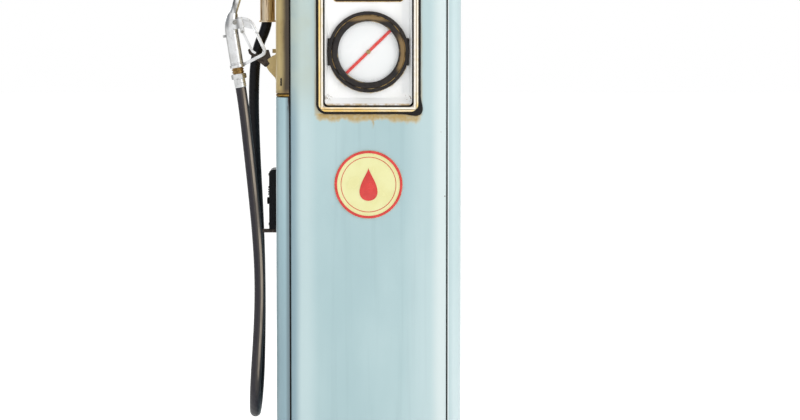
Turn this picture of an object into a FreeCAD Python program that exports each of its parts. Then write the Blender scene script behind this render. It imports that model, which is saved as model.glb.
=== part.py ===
"""A 1950s fuel dispenser: a tall sheet-metal cabinet with a dial face on its front and rear,
and a nozzle that hangs beside it on the end of its hose.

Millimetres. +Z is up, the front face looks along -Y, and the hose hangs on the -X side.
The origin is the middle of the base plate's underside.
"""

import FreeCAD
import Part

import math
import os

V = FreeCAD.Vector
X_AXIS = V(1, 0, 0)
Y_AXIS = V(0, 1, 0)
Z_AXIS = V(0, 0, 1)

# Cabinet
CABINET_WIDTH = 500.0
CABINET_DEPTH = 420.0
CABINET_TOP = 1640.0  # top edge of the panels
CORNER_RADIUS = 36.0
PANEL_THICKNESS = 12.0
PANEL_CORNER_RADIUS = 2.0
PANEL_EDGE_RADIUS = 2.5
SEAM = 4.0
CAP_HEIGHT = 76.0
CAP_EDGE_RADIUS = 28.0

SIDE_X = -CABINET_WIDTH / 2
FRONT_Y = -CABINET_DEPTH / 2
CORE_Y = FRONT_Y + PANEL_THICKNESS
PANEL_WIDTH = CABINET_WIDTH - 2 * (CORNER_RADIUS + SEAM)  # front and rear panel

# Base
BASE_PLATE_THICKNESS = 10.0
PLINTH_TOP = 110.0
PLINTH_INSET = 8.0
PLINTH_WALL = 12.0
ANCHOR_SPACING_X = 380.0
ANCHOR_SPACING_Y = 300.0
ANCHOR_HOLE_RADIUS = 8.0
PANEL_BOTTOM = PLINTH_TOP + SEAM

# Left side: a casing above, a panel below and a trim strip in the joint
CASING_BOTTOM = 1106.0
TRIM_HEIGHT = 4.5
TRIM_GAP = 3.5

# Face, from its foot upwards: gasket, bezel and recessed plate, sized round the dial's ring
FACE_BOTTOM = 1050.0
GASKET_BAR = 15.0
GASKET_THICKNESS = 4.0
GASKET_RADIUS = 28.0
GASKET_LAP = 6.0  # shows round the bezel
BEZEL_BAR = 13.5
BEZEL_THICKNESS = 8.0
BEZEL_RADIUS = 24.0
BEZEL_GROOVE_WIDTH = 3.0
BEZEL_GROOVE_DEPTH = 2.5
TRAY_GAP = 4.0  # dark gap between the bezel and the rim of the plate
TRAY_DEPTH = 25.0
TRAY_SHEET = 3.0
TRAY_WALL = 2.1  # the sheet where it slopes, measured level
TRAY_SIDE_SLOPE = 6.5
TRAY_LEDGE = 20.0  # the wider slope at the bottom and the top
TRAY_RIM_SETBACK = 5.0
TRAY_RADIUS = 10.0
POCKET_LIP = 3.0  # the housing's edge inside the panel's opening
SEAT_GAP = 0.2

# Sight dial
RING_RADIUS = 109.5
RING_SIDE_CLEARANCE = 1.5
RING_FOOT_CLEARANCE = 14.0
RING_EDGE = 11.0  # the low outer step
RING_WALL = 17.5
RING_LIP_OVERLAP = 10.0
RING_HEIGHT = 18.0
RING_STEP = 4.0
RING_LIP = 5.0
RING_LUG_HEIGHT = 74.0
RING_LUG_THICKNESS = 6.0
DIAL_THICKNESS = 2.5
SIGHT_GLASS = 3.0
POINTER_TIP_CLEARANCE = 6.0
POINTER_WIDTH = 8.0
POINTER_THICKNESS = 1.5
POINTER_LIFT = 2.5  # gap between the dial and the pointer
POINTER_CORNER = 1.0
POINTER_ANGLE = 44.0
HUB_RADIUS = 6.0
HUB_THICKNESS = 2.0
STUD_RADIUS = 3.0
STUD_SHOULDER = 1.5
RUNNING_CLEARANCE = 0.05
END_CLEARANCE = 0.3

RING_STEP_RADIUS = RING_RADIUS - RING_EDGE
RING_CAVITY_RADIUS = RING_RADIUS - RING_WALL
RING_OPENING_RADIUS = RING_CAVITY_RADIUS - RING_LIP_OVERLAP
POINTER_HALF_LENGTH = RING_CAVITY_RADIUS - POINTER_TIP_CLEARANCE
TRAY_RIM_INSET = GASKET_LAP + BEZEL_BAR + TRAY_GAP  # from the gasket's edge to the plate's rim
GASKET_WIDTH = 2 * (RING_RADIUS + RING_SIDE_CLEARANCE + TRAY_SIDE_SLOPE + TRAY_RIM_INSET)
BEZEL_WIDTH = GASKET_WIDTH - 2 * GASKET_LAP
DIAL_Z = FACE_BOTTOM + TRAY_RIM_INSET + TRAY_LEDGE + RING_FOOT_CLEARANCE + RING_RADIUS

# Register window, above the ring
REGISTER_ABOVE_RING = 28.5
REGISTER_HEIGHT = 120.0
REGISTER_SIDE_INSET = 17.5  # narrower than the ring
REGISTER_HEAD_CLEARANCE = 41.5
REGISTER_RADIUS = 8.0
REGISTER_RIM_BAR = 7.0
REGISTER_RIM_THICKNESS = 4.0
REGISTER_PLATE_MARGIN = 1.0
REGISTER_GLASS_LAP = 4.0
REGISTER_GLASS = 3.0
REGISTER_POCKET_MARGIN = 6.0
WHEEL_RADIUS = 22.0
WHEEL_FRONT_GAP = 8.0
WHEEL_BACK_GAP = 13.0
WHEEL_ROW_GAP = 6.0
WHEELS_PER_ROW = 8
WHEEL_GROOVE = 1.6
WHEEL_SHAFT_RADIUS = 8.0

REGISTER_WIDTH = 2 * (RING_RADIUS - REGISTER_SIDE_INSET)
REGISTER_BOTTOM = DIAL_Z + RING_RADIUS + REGISTER_ABOVE_RING
REGISTER_TOP = REGISTER_BOTTOM + REGISTER_HEIGHT
REGISTER_POCKET_DEPTH = REGISTER_GLASS + WHEEL_FRONT_GAP + 2 * WHEEL_RADIUS + WHEEL_BACK_GAP
WHEEL_SPACING = 2 * WHEEL_RADIUS + WHEEL_ROW_GAP
FACE_TOP = REGISTER_TOP + REGISTER_HEAD_CLEARANCE + TRAY_LEDGE + TRAY_RIM_INSET

# Badge on the front panel
BADGE_Z = 860.0
BADGE_RADIUS = 92.0
BADGE_THICKNESS = 3.0
BADGE_RIM = 9.0
BADGE_FIELD_DEPTH = 1.0

# Hose: its centreline runs from the outlet, down, round and up to the nozzle
HOSE_RADIUS = 14.5
HOSE_START = 1334.0
ARC_SHARE = 0.45
HOSE_END_RUN = 55.0

# Hose outlet
OUTLET_STAND_OFF = 33.0
OUTLET_Y = 160.0
SLEEVE_CLEARANCE = 3.5
SLEEVE_WALL = 3.0
SLEEVE_BOTTOM = 1293.0
SLEEVE_TOP = 1372.0
SLEEVE_FLANGE_LIP = 3.0
SLEEVE_FLANGE_HEIGHT = 5.0
SLEEVE_FLANGE_ROUND = 1.5
OUTLET_BLOCK_HEIGHT = 72.0
OUTLET_BLOCK_WIDTH = 60.0
OUTLET_BLOCK_ROUND = 12.0
TAIL_SINK = 2.0

OUTLET_X = SIDE_X - OUTLET_STAND_OFF
SLEEVE_BORE_RADIUS = HOSE_RADIUS + SLEEVE_CLEARANCE
SLEEVE_RADIUS = SLEEVE_BORE_RADIUS + SLEEVE_WALL
SLEEVE_FLANGE_RADIUS = SLEEVE_RADIUS + SLEEVE_FLANGE_LIP

# Nozzle, measured up its own axis from the end of the hose
NOZZLE_STAND_OFF = 96.5
NOZZLE_Y = -140.0
NOZZLE_Z = 1120.0
NOZZLE_LEAN = 9.0  # degrees, its top away from the cabinet
FERRULE_WALL = 1.0
FERRULE_LENGTH = 23.0
FERRULE_CHAMFER = 0.8
NUT_RADIUS = 20.5
NUT_LENGTH = 14.0
NUT_CHAMFER = 2.0
SWIVEL_RADIUS = 16.5
SWIVEL_LENGTH = 17.0
SWIVEL_GROOVE = 2.0
COLLAR_LIP = 2.25
COLLAR_LENGTH = 9.0
COLLAR_ROUND = 1.5
BODY_RADIUS = 17.75
BEND_START = 147.0
BEND_RADIUS = 128.0
NECK_ANGLE = 26.0
NECK_SHOULDER = 1.25  # the narrowing two thirds round the bend
NECK_STEP = 1.7
SPOUT_RADIUS = 10.0
SPOUT_LENGTH = 185.0
NUB_HEIGHT = 143.0
NUB_RADIUS = 3.5
NUB_LENGTH = 8.0
NUB_SINK = 2.0
CAP_BLOCK_WIDTH = 34.0
CAP_BLOCK_HEIGHT = 28.0
CAP_BLOCK_DEPTH = 36.0
CAP_BLOCK_X = 17.5
CAP_BLOCK_Z = 171.5
CAP_BLOCK_TILT = 4.5
CAP_BLOCK_ROUND = 2.5

NOZZLE_X = SIDE_X - NOZZLE_STAND_OFF
FERRULE_RADIUS = HOSE_RADIUS + FERRULE_WALL
COLLAR_RADIUS = BODY_RADIUS + COLLAR_LIP

# Trigger and its guard, both in nozzle coordinates: beside the axis and along it
GUARD_BAR = 8.5
GUARD_DEPTH = 12.0
GUARD_TOP = (53.0, 184.0)
GUARD_FOOT = (82.5, 81.0)
GUARD_FOOT_END = (12.0, 58.0)
GUARD_TOP_BEND = 34.0
GUARD_FOOT_BEND = 11.0
GUARD_WEB = [(30.0, 184.0), (55.0, 172.0), (66.0, 146.0), (34.0, 160.0)]
GUARD_WEB_THICKNESS = 4.0
GUARD_WEB_CORNER = 1.0
TRIGGER_PIVOT_X = 29.0
TRIGGER_PIVOT_Z = 148.0
TRIGGER_BAR = 6.0
TRIGGER_DEPTH = 11.0
TRIGGER_FINGER = [(44.5, 99.0), (48.0, 90.0), (55.0, 85.0)]
TRIGGER_BEND = 20.0
TRIGGER_HOOK_BEND = 7.0
TRIGGER_PIN_RADIUS = 2.5
TRIGGER_EYE_WALL = 3.0
TRIGGER_EAR = 3.5
EAR_GAP = 1.5
EAR_SINK = 4.0

TRIGGER_EYE_RADIUS = TRIGGER_PIN_RADIUS + TRIGGER_EYE_WALL

# Nozzle boot, a hooded socket for the spout
BOOT_CLEARANCE = 3.0
BOOT_WALL = 6.0
BOOT_LENGTH = 62.0
BOOT_END = 6.0
BOOT_SEAT = 0.3
BOOT_FLANGE_THICKNESS = 8.0
BOOT_FLANGE_WIDTH = 60.0
BOOT_FLANGE_HEIGHT = 100.0
BOOT_FLANGE_ROUND = 8.0
BOOT_WEB = 14.0

BOOT_BORE_RADIUS = SPOUT_RADIUS + BOOT_CLEARANCE
BOOT_RADIUS = BOOT_BORE_RADIUS + BOOT_WALL

# Switch lever and its bracket
LEVER_STAND_OFF = 13.0
LEVER_Y = -110.0
LEVER_Z = 1183.0
LEVER_THICKNESS = 10.0
LEVER_BOSS_RADIUS = 8.5
LEVER_PIN_RADIUS = 3.0
LEVER_GAP = 1.5
BRACKET_EAR = 5.5
BRACKET_PLATE = 3.0
BRACKET_ABOVE = 26.0
BRACKET_BELOW = 42.0
STUD_Y = -80.0
STUD_ABOVE = 34.0
STUD_HEIGHT = 11.0
STUD_REACH = 12.0

LEVER_X = SIDE_X - LEVER_STAND_OFF

# Switch box and hose arm, low on the side
BOX_BOTTOM = 725.0
BOX_HEIGHT = 165.0
BOX_PROUD = 24.0
BOX_DEPTH = 100.0
BOX_Y = 10.0
BOX_RADIUS = 13.0
KNOB_ABOVE_BOX_FOOT = 76.0
KNOB_RADIUS = 9.0
KNOB_LENGTH = 7.0
KNOB_ROUND = 1.5
ARM_Y = 135.0
ARM_Z = 707.0
ARM_RADIUS = 5.5
ARM_REACH = 68.0
ARM_UPTURN = 24.0
ARM_BEND_RADIUS = 12.0
ARM_PLATE_THICKNESS = 6.0
ARM_PLATE_WIDTH = 44.0
ARM_PLATE_HEIGHT = 57.0


def path_edges(points, radii, closed=False):
    """Straight edges through the points, with each corner rounded by a tangent arc."""
    count = len(points)
    corners = range(count) if closed else range(1, count - 1)
    rounds = {}
    for i in corners:
        before = (points[i] - points[i - 1]).normalize()
        after = (points[(i + 1) % count] - points[i]).normalize()
        half_turn = before.getAngle(after) / 2
        tangent = radii[i] * math.tan(half_turn)
        start = points[i] - before * tangent
        end = points[i] + after * tangent
        inward = (after - before).normalize()
        middle = points[i] + inward * radii[i] * (1 / math.cos(half_turn) - 1)
        rounds[i] = (start, middle, end)
    edges = []
    for i in range(count if closed else count - 1):
        following = (i + 1) % count
        start = rounds[i][2] if i in rounds else points[i]
        end = rounds[following][0] if following in rounds else points[following]
        if start.distanceToPoint(end) > 1e-6:
            edges.append(Part.LineSegment(start, end).toShape())
        if following in rounds:
            edges.append(Part.Arc(*rounds[following]).toShape())
    return edges


def outline_xz(corners, radii, y):
    """A closed outline in the plane at y, its (x, z) corners rounded by one or several radii."""
    if not isinstance(radii, (list, tuple)):
        radii = [radii] * len(corners)
    points = [V(x, y, z) for x, z in corners]
    return Part.Wire(path_edges(points, radii, closed=True))


def slab_xz(corners, radii, y_from, y_to):
    return Part.Face(outline_xz(corners, radii, y_from)).extrude(V(0, y_to - y_from, 0))


def rectangle(width, bottom, top):
    half = width / 2
    return [(-half, bottom), (half, bottom), (half, top), (-half, top)]


def frame_xz(width, bottom, top, radius, bar, y_from, y_to):
    """A rectangular ring that lies in the XZ plane, with bars of one width."""
    inner_radius = max(radius - bar, 2.0)
    outer = slab_xz(rectangle(width, bottom, top), radius, y_from, y_to)
    opening = rectangle(width - 2 * bar, bottom + bar, top - bar)
    return outer.cut(slab_xz(opening, inner_radius, y_from - 1, y_to + 1))


def box(x_from, x_to, y_from, y_to, z_from, z_to):
    low = V(x_from, y_from, z_from)
    return Part.makeBox(x_to - x_from, y_to - y_from, z_to - z_from, low)


def rounded_block(width, depth, z_from, z_to, radius):
    """An upright block with rounded vertical corners, centred on the Z axis."""
    block = box(-width / 2, width / 2, -depth / 2, depth / 2, z_from, z_to)
    upright = [e for e in block.Edges if abs(e.Vertexes[0].Z - e.Vertexes[1].Z) > 1]
    return block.makeFillet(radius, upright)


def rod(radius, start, end):
    return Part.makeCylinder(radius, start.distanceToPoint(end), start, end - start)


def disc_y(radius, y_from, y_to, x=0.0, z=DIAL_Z):
    return rod(radius, V(x, y_from, z), V(x, y_to, z))


def turn_about_z(shape):
    """The same piece on the rear."""
    turned = shape.copy()
    turned.rotate(V(0, 0, 0), Z_AXIS, 180)
    return turned


# ---- Cabinet ----


def wrapped_panel(side, z_from, z_to):
    """A side panel that wraps round both corners: side is 1 for +X and -1 for -X."""
    outer = rounded_block(CABINET_WIDTH, CABINET_DEPTH, z_from, z_to, CORNER_RADIUS)
    inner_radius = CORNER_RADIUS - PANEL_THICKNESS
    inner = rounded_block(
        CABINET_WIDTH - 2 * PANEL_THICKNESS,
        CABINET_DEPTH - 2 * PANEL_THICKNESS,
        z_from - 1,
        z_to + 1,
        inner_radius,
    )
    start = PANEL_WIDTH / 2 + SEAM
    reach = CABINET_WIDTH
    near, far = (start, reach) if side > 0 else (-reach, -start)
    return outer.cut(inner).common(box(near, far, -reach, reach, z_from, z_to))


def inner_frame():
    """The closed housing behind the panels, with a pocket for each face."""
    core = rounded_block(
        CABINET_WIDTH - 2 * PANEL_THICKNESS,
        CABINET_DEPTH - 2 * PANEL_THICKNESS,
        PLINTH_TOP,
        CABINET_TOP + SEAM,
        CORNER_RADIUS - PANEL_THICKNESS,
    )
    for pocket in (face_pocket(), register_pocket()):
        core = core.cut(pocket).cut(turn_about_z(pocket))
    return core


def face_pocket():
    bar = GASKET_BAR + POCKET_LIP
    corners = rectangle(GASKET_WIDTH - 2 * bar, FACE_BOTTOM + bar, FACE_TOP - bar)
    return slab_xz(corners, TRAY_RADIUS + TRAY_GAP, CORE_Y - 1, tray_back())


def register_rectangle(margin):
    """The register window's corners, moved outwards by a margin."""
    return rectangle(REGISTER_WIDTH + 2 * margin, REGISTER_BOTTOM - margin, REGISTER_TOP + margin)


def register_pocket():
    corners = register_rectangle(REGISTER_POCKET_MARGIN)
    back = tray_back() + REGISTER_POCKET_DEPTH
    return slab_xz(corners, REGISTER_RADIUS, tray_back() - 1, back)


def top_cap():
    bottom = CABINET_TOP + SEAM
    cap = rounded_block(
        CABINET_WIDTH, CABINET_DEPTH, bottom, bottom + CAP_HEIGHT, CORNER_RADIUS
    )
    top = bottom + CAP_HEIGHT
    rim = [e for e in cap.Edges if all(abs(v.Z - top) < 1e-6 for v in e.Vertexes)]
    return cap.makeFillet(CAP_EDGE_RADIUS, rim)


def base_plate():
    plate = rounded_block(
        CABINET_WIDTH - 2 * PLINTH_INSET,
        CABINET_DEPTH - 2 * PLINTH_INSET,
        0,
        BASE_PLATE_THICKNESS,
        CORNER_RADIUS - PLINTH_INSET,
    )
    for x in (-ANCHOR_SPACING_X / 2, ANCHOR_SPACING_X / 2):
        for y in (-ANCHOR_SPACING_Y / 2, ANCHOR_SPACING_Y / 2):
            hole = rod(ANCHOR_HOLE_RADIUS, V(x, y, -1), V(x, y, BASE_PLATE_THICKNESS + 1))
            plate = plate.cut(hole)
    return plate


def plinth_skirt():
    inset = 2 * PLINTH_INSET
    radius = CORNER_RADIUS - PLINTH_INSET
    outer = rounded_block(
        CABINET_WIDTH - inset, CABINET_DEPTH - inset, BASE_PLATE_THICKNESS, PLINTH_TOP, radius
    )
    inset += 2 * PLINTH_WALL
    inner = rounded_block(
        CABINET_WIDTH - inset,
        CABINET_DEPTH - inset,
        BASE_PLATE_THICKNESS - 1,
        PLINTH_TOP + 1,
        radius - PLINTH_WALL,
    )
    return outer.cut(inner)


# ---- Face, made for the front and turned for the rear ----


def tray_front():
    return FRONT_Y + TRAY_RIM_SETBACK


def tray_back():
    return tray_front() + TRAY_DEPTH


def tray_face():
    return tray_back() - TRAY_SHEET


def face_panel():
    corners = rectangle(PANEL_WIDTH, PANEL_BOTTOM, CABINET_TOP)
    panel = slab_xz(corners, PANEL_CORNER_RADIUS, FRONT_Y, CORE_Y)
    upright = [
        e
        for e in panel.Edges
        if e.BoundBox.ZLength > CABINET_TOP / 2 and abs(e.BoundBox.YMin - FRONT_Y) < 1e-6
    ]
    panel = panel.makeFillet(PANEL_EDGE_RADIUS, upright)
    bar = GASKET_BAR
    opening = rectangle(GASKET_WIDTH - 2 * bar, FACE_BOTTOM + bar, FACE_TOP - bar)
    return panel.cut(slab_xz(opening, GASKET_RADIUS - bar, FRONT_Y - 1, CORE_Y + 1))


def face_gasket():
    front = FRONT_Y - GASKET_THICKNESS
    return frame_xz(
        GASKET_WIDTH, FACE_BOTTOM, FACE_TOP, GASKET_RADIUS, GASKET_BAR, front, FRONT_Y
    )


def face_bezel():
    back = FRONT_Y - GASKET_THICKNESS
    front = back - BEZEL_THICKNESS
    bottom = FACE_BOTTOM + GASKET_LAP
    top = FACE_TOP - GASKET_LAP
    bezel = frame_xz(BEZEL_WIDTH, bottom, top, BEZEL_RADIUS, BEZEL_BAR, front, back)
    into = (BEZEL_BAR - BEZEL_GROOVE_WIDTH) / 2
    groove = frame_xz(
        BEZEL_WIDTH - 2 * into,
        bottom + into,
        top - into,
        BEZEL_RADIUS - into,
        BEZEL_GROOVE_WIDTH,
        front - 1,
        front + BEZEL_GROOVE_DEPTH,
    )
    return bezel.cut(groove)


def tray_outline(inset, slope_share, y):
    """The plate's outline where it has sunk by slope_share of its depth, moved inwards by inset."""
    clear = TRAY_RIM_INSET + inset
    across = clear + TRAY_SIDE_SLOPE * slope_share
    ledge = clear + TRAY_LEDGE * slope_share
    corners = rectangle(GASKET_WIDTH - 2 * across, FACE_BOTTOM + ledge, FACE_TOP - ledge)
    return outline_xz(corners, TRAY_RADIUS - inset, y)


def face_plate():
    """A pressed plate: its rim behind the bezel, sloped walls and a flat that holds the dial."""
    outer = Part.makeLoft(
        [tray_outline(0, 0, tray_front()), tray_outline(0, 1, tray_back())], True, True
    )
    inside = [tray_outline(TRAY_WALL, 0, tray_front()), tray_outline(TRAY_WALL, 1, tray_back())]
    hollow = Part.makeLoft(inside, True, True)
    reach = CABINET_WIDTH / 2
    hollow = hollow.common(
        box(-reach, reach, tray_front() - 1, tray_face(), FACE_BOTTOM, FACE_TOP)
    )
    plate = outer.cut(hollow)
    opening = register_rectangle(REGISTER_PLATE_MARGIN)
    return plate.cut(slab_xz(opening, REGISTER_RADIUS, tray_face() - 1, tray_back() + 1))


def register_rim():
    half_bar = REGISTER_RIM_BAR / 2
    return frame_xz(
        REGISTER_WIDTH + REGISTER_RIM_BAR,
        REGISTER_BOTTOM - half_bar,
        REGISTER_TOP + half_bar,
        REGISTER_RADIUS + half_bar,
        REGISTER_RIM_BAR,
        tray_face() - REGISTER_RIM_THICKNESS,
        tray_face(),
    )


def register_glass():
    corners = register_rectangle(REGISTER_GLASS_LAP)
    return slab_xz(corners, REGISTER_RADIUS, tray_back(), tray_back() + REGISTER_GLASS)


def register_wheels():
    """Two rows of number wheels, each turned as one piece on its shaft."""
    reach = REGISTER_WIDTH / 2 + REGISTER_POCKET_MARGIN - SEAT_GAP
    pitch = REGISTER_WIDTH / WHEELS_PER_ROW
    y = tray_back() + REGISTER_GLASS + WHEEL_FRONT_GAP + WHEEL_RADIUS
    middle = REGISTER_BOTTOM + REGISTER_HEIGHT / 2
    rows = []
    for z in (middle - WHEEL_SPACING / 2, middle + WHEEL_SPACING / 2):
        row = rod(WHEEL_SHAFT_RADIUS, V(-reach, y, z), V(reach, y, z))
        for i in range(WHEELS_PER_ROW):
            start = -REGISTER_WIDTH / 2 + i * pitch + WHEEL_GROOVE / 2
            end = start + pitch - WHEEL_GROOVE
            row = row.fuse(rod(WHEEL_RADIUS, V(start, y, z), V(end, y, z)))
        rows.append(row)
    return Part.makeCompound(rows)


def sight_ring():
    back = tray_face()
    front = back - RING_HEIGHT
    ring = disc_y(RING_RADIUS, front + RING_STEP, back)
    ring = ring.fuse(disc_y(RING_STEP_RADIUS, front, front + RING_STEP))
    for side in (-1, 1):
        inner = side * RING_CAVITY_RADIUS
        outer = side * RING_RADIUS
        lug = box(
            min(inner, outer),
            max(inner, outer),
            back - RING_LUG_THICKNESS,
            back,
            DIAL_Z - RING_LUG_HEIGHT / 2,
            DIAL_Z + RING_LUG_HEIGHT / 2,
        )
        ring = ring.fuse(lug)
    ring = ring.cut(disc_y(RING_CAVITY_RADIUS, front + RING_LIP, back + 1))
    return ring.cut(disc_y(RING_OPENING_RADIUS, front - 1, front + RING_LIP + 1))


def sight_glass():
    front = tray_face() - RING_HEIGHT + RING_LIP
    return disc_y(RING_CAVITY_RADIUS - SEAT_GAP, front, front + SIGHT_GLASS)


def pointer_back():
    return tray_face() - DIAL_THICKNESS - POINTER_LIFT


def dial():
    """The white disc with the stud that the pointer turns on."""
    disc = disc_y(RING_CAVITY_RADIUS - SEAT_GAP, tray_face() - DIAL_THICKNESS, tray_face())
    stud_end = pointer_back() - POINTER_THICKNESS - HUB_THICKNESS / 2
    stud = disc_y(STUD_RADIUS, stud_end, tray_face() - DIAL_THICKNESS / 2)
    shoulder = disc_y(
        STUD_RADIUS + STUD_SHOULDER,
        pointer_back() + END_CLEARANCE,
        tray_face() - DIAL_THICKNESS / 2,
    )
    return disc.fuse(stud).fuse(shoulder)


def pointer():
    back = pointer_back()
    half = POINTER_WIDTH / 2
    corners = rectangle(2 * POINTER_HALF_LENGTH, DIAL_Z - half, DIAL_Z + half)
    bar = slab_xz(corners, POINTER_CORNER, back - POINTER_THICKNESS, back)
    bar = bar.cut(disc_y(STUD_RADIUS + RUNNING_CLEARANCE, back - POINTER_THICKNESS - 1, back + 1))
    bar.rotate(V(0, 0, DIAL_Z), Y_AXIS, -POINTER_ANGLE)
    return bar


def pointer_hub():
    back = pointer_back() - POINTER_THICKNESS
    hub = disc_y(HUB_RADIUS, back - HUB_THICKNESS, back)
    bore = disc_y(STUD_RADIUS + RUNNING_CLEARANCE, back - HUB_THICKNESS / 2 - END_CLEARANCE, back + 1)
    return hub.cut(bore)


def face_pieces():
    return {
        "panel": face_panel(),
        "gasket": face_gasket(),
        "bezel": face_bezel(),
        "face_plate": face_plate(),
        "register_rim": register_rim(),
        "register_glass": register_glass(),
        "register_wheels": register_wheels(),
        "sight_ring": sight_ring(),
        "sight_glass": sight_glass(),
        "dial": dial(),
        "pointer": pointer(),
        "pointer_hub": pointer_hub(),
    }


def round_badge():
    back = FRONT_Y
    front = back - BADGE_THICKNESS
    badge = disc_y(BADGE_RADIUS, front, back, z=BADGE_Z)
    field = disc_y(BADGE_RADIUS - BADGE_RIM, front - 1, front + BADGE_FIELD_DEPTH, z=BADGE_Z)
    return badge.cut(field)


# ---- Hose and its outlet ----


def hose_outlet_casting():
    """The block that brings the hose out of the cabinet, with the tail the hose is clamped on."""
    half = OUTLET_BLOCK_WIDTH / 2
    top = SLEEVE_TOP + OUTLET_BLOCK_HEIGHT
    block = box(
        OUTLET_X - SLEEVE_FLANGE_RADIUS,
        SIDE_X,
        OUTLET_Y - half,
        OUTLET_Y + half,
        SLEEVE_TOP,
        top,
    )
    outer = [
        e
        for e in block.Edges
        if e.BoundBox.XMax < SIDE_X - 1 and e.BoundBox.ZMax > SLEEVE_TOP + 1
    ]
    block = block.makeFillet(OUTLET_BLOCK_ROUND, outer)
    start = V(OUTLET_X, OUTLET_Y, HOSE_START)
    tail = rod(HOSE_RADIUS, start, V(OUTLET_X, OUTLET_Y, SLEEVE_TOP + TAIL_SINK))
    return block.fuse(tail)


def hose_outlet_sleeve():
    foot = V(OUTLET_X, OUTLET_Y, SLEEVE_BOTTOM)
    sleeve = rod(SLEEVE_RADIUS, foot, V(OUTLET_X, OUTLET_Y, SLEEVE_TOP))
    flange = rod(SLEEVE_FLANGE_RADIUS, foot, foot + Z_AXIS * SLEEVE_FLANGE_HEIGHT)
    flange = flange.makeFillet(SLEEVE_FLANGE_ROUND, [e for e in flange.Edges if len(e.Vertexes) == 1])
    bore = rod(SLEEVE_BORE_RADIUS, foot - Z_AXIS, V(OUTLET_X, OUTLET_Y, SLEEVE_TOP + 1))
    return sleeve.fuse(flange).cut(bore)


def hose_points():
    """The hose's route: out of the sleeve, down, round the low loop and up to the nozzle."""
    back = OUTLET_Y
    front = NOZZLE_Y
    end = nozzle_point(0, 0)
    return [
        V(OUTLET_X, back, HOSE_START),
        V(-283.0, back, 1300),
        V(-291.2, back, 1267),
        V(-306.5, back, 1234),
        V(-316.6, back, 1193),
        V(-321.6, back, 1134),
        V(-322.5, back, 1040),
        V(-318.5, back, 915),
        V(-311.0, back, 770),
        V(-306.0, back, 620),
        V(-305.0, back, 470),
        V(-308.0, back, 315),
        V(-312.0, 103, 236),
        V(-315.0, 10, 206),
        V(-313.5, -83, 236),
        V(-309.5, front, 315),
        V(-299.0, front, 468),
        V(-296.0, front, 588),
        V(-301.0, front, 702),
        V(-313.5, front, 838),
        V(-327.0, front, 965),
        end - nozzle_direction() * HOSE_END_RUN,
        end,
    ]


def hose_radii(points):
    """The largest arc that each corner's two runs allow."""
    radii = [0.0] * len(points)
    for i in range(1, len(points) - 1):
        before = points[i] - points[i - 1]
        after = points[i + 1] - points[i]
        half_turn = before.getAngle(after) / 2
        shorter = min(before.Length, after.Length)
        radii[i] = ARC_SHARE * shorter / math.tan(half_turn)
    return radii


def hose():
    points = hose_points()
    radii = hose_radii(points)
    path = Part.Wire(path_edges(points, radii))
    section = Part.Wire(Part.makeCircle(HOSE_RADIUS, points[0], points[1] - points[0]))
    tube = path.makePipeShell([section], True, False)
    expected = math.pi * HOSE_RADIUS**2 * path.Length
    print("hose length", round(path.Length, 1), "radii", [round(r) for r in radii[1:-1]])
    print("hose volume against section times length", round(tube.Volume / expected, 5))
    return tube


# ---- Nozzle ----


def nozzle_direction():
    lean = math.radians(NOZZLE_LEAN)
    return V(-math.sin(lean), 0, math.cos(lean))


def nozzle_point(x, z, y=0.0):
    """A point given beside and along the nozzle's axis."""
    along = nozzle_direction()
    beside = V(along.z, 0, -along.x)
    return V(NOZZLE_X, NOZZLE_Y + y, NOZZLE_Z) + beside * x + along * z


def place_nozzle(shape):
    """A piece that was made on the Z axis, moved to the nozzle's place and lean."""
    placed = shape.copy()
    placed.rotate(V(0, 0, 0), Y_AXIS, -NOZZLE_LEAN)
    placed.translate(V(NOZZLE_X, NOZZLE_Y, NOZZLE_Z))
    return placed


def fitting_levels():
    """Where each fitting starts along the nozzle, from the hose upwards."""
    nut = FERRULE_LENGTH
    swivel = nut + NUT_LENGTH
    collar = swivel + SWIVEL_LENGTH
    body = collar + COLLAR_LENGTH
    return nut, swivel, collar, body


def hose_ferrule():
    ferrule = rod(FERRULE_RADIUS, V(0, 0, 0), V(0, 0, FERRULE_LENGTH))
    rims = [e for e in ferrule.Edges if len(e.Vertexes) == 1]
    return place_nozzle(ferrule.makeChamfer(FERRULE_CHAMFER, rims))


def hose_nut():
    nut_start, swivel_start = fitting_levels()[:2]
    corners = [
        V(NUT_RADIUS * math.cos(math.radians(a)), NUT_RADIUS * math.sin(math.radians(a)), nut_start)
        for a in range(0, 360, 60)
    ]
    nut = Part.Face(Part.makePolygon(corners + corners[:1]))
    nut = nut.extrude(V(0, 0, swivel_start - nut_start))
    turned = rod(NUT_RADIUS, V(0, 0, nut_start), V(0, 0, swivel_start))
    turned = turned.makeChamfer(NUT_CHAMFER, [e for e in turned.Edges if len(e.Vertexes) == 1])
    return place_nozzle(nut.common(turned))


def swivel_rings():
    """The brass swivel, turned with two ridges."""
    start, end = fitting_levels()[1:3]
    band = (end - start) / 5
    swivel = rod(SWIVEL_RADIUS - SWIVEL_GROOVE, V(0, 0, start), V(0, 0, end))
    for step in (1, 3):
        ridge_start = start + step * band
        ridge = rod(SWIVEL_RADIUS, V(0, 0, ridge_start), V(0, 0, ridge_start + band))
        swivel = swivel.fuse(ridge)
    return place_nozzle(swivel)


def bend_point(angle):
    """A point on the body's bent centreline, which turns towards the cabinet."""
    turn = math.radians(angle)
    x = BEND_RADIUS * (1 - math.cos(turn))
    z = BEND_START + BEND_RADIUS * math.sin(turn)
    return x, z


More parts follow.
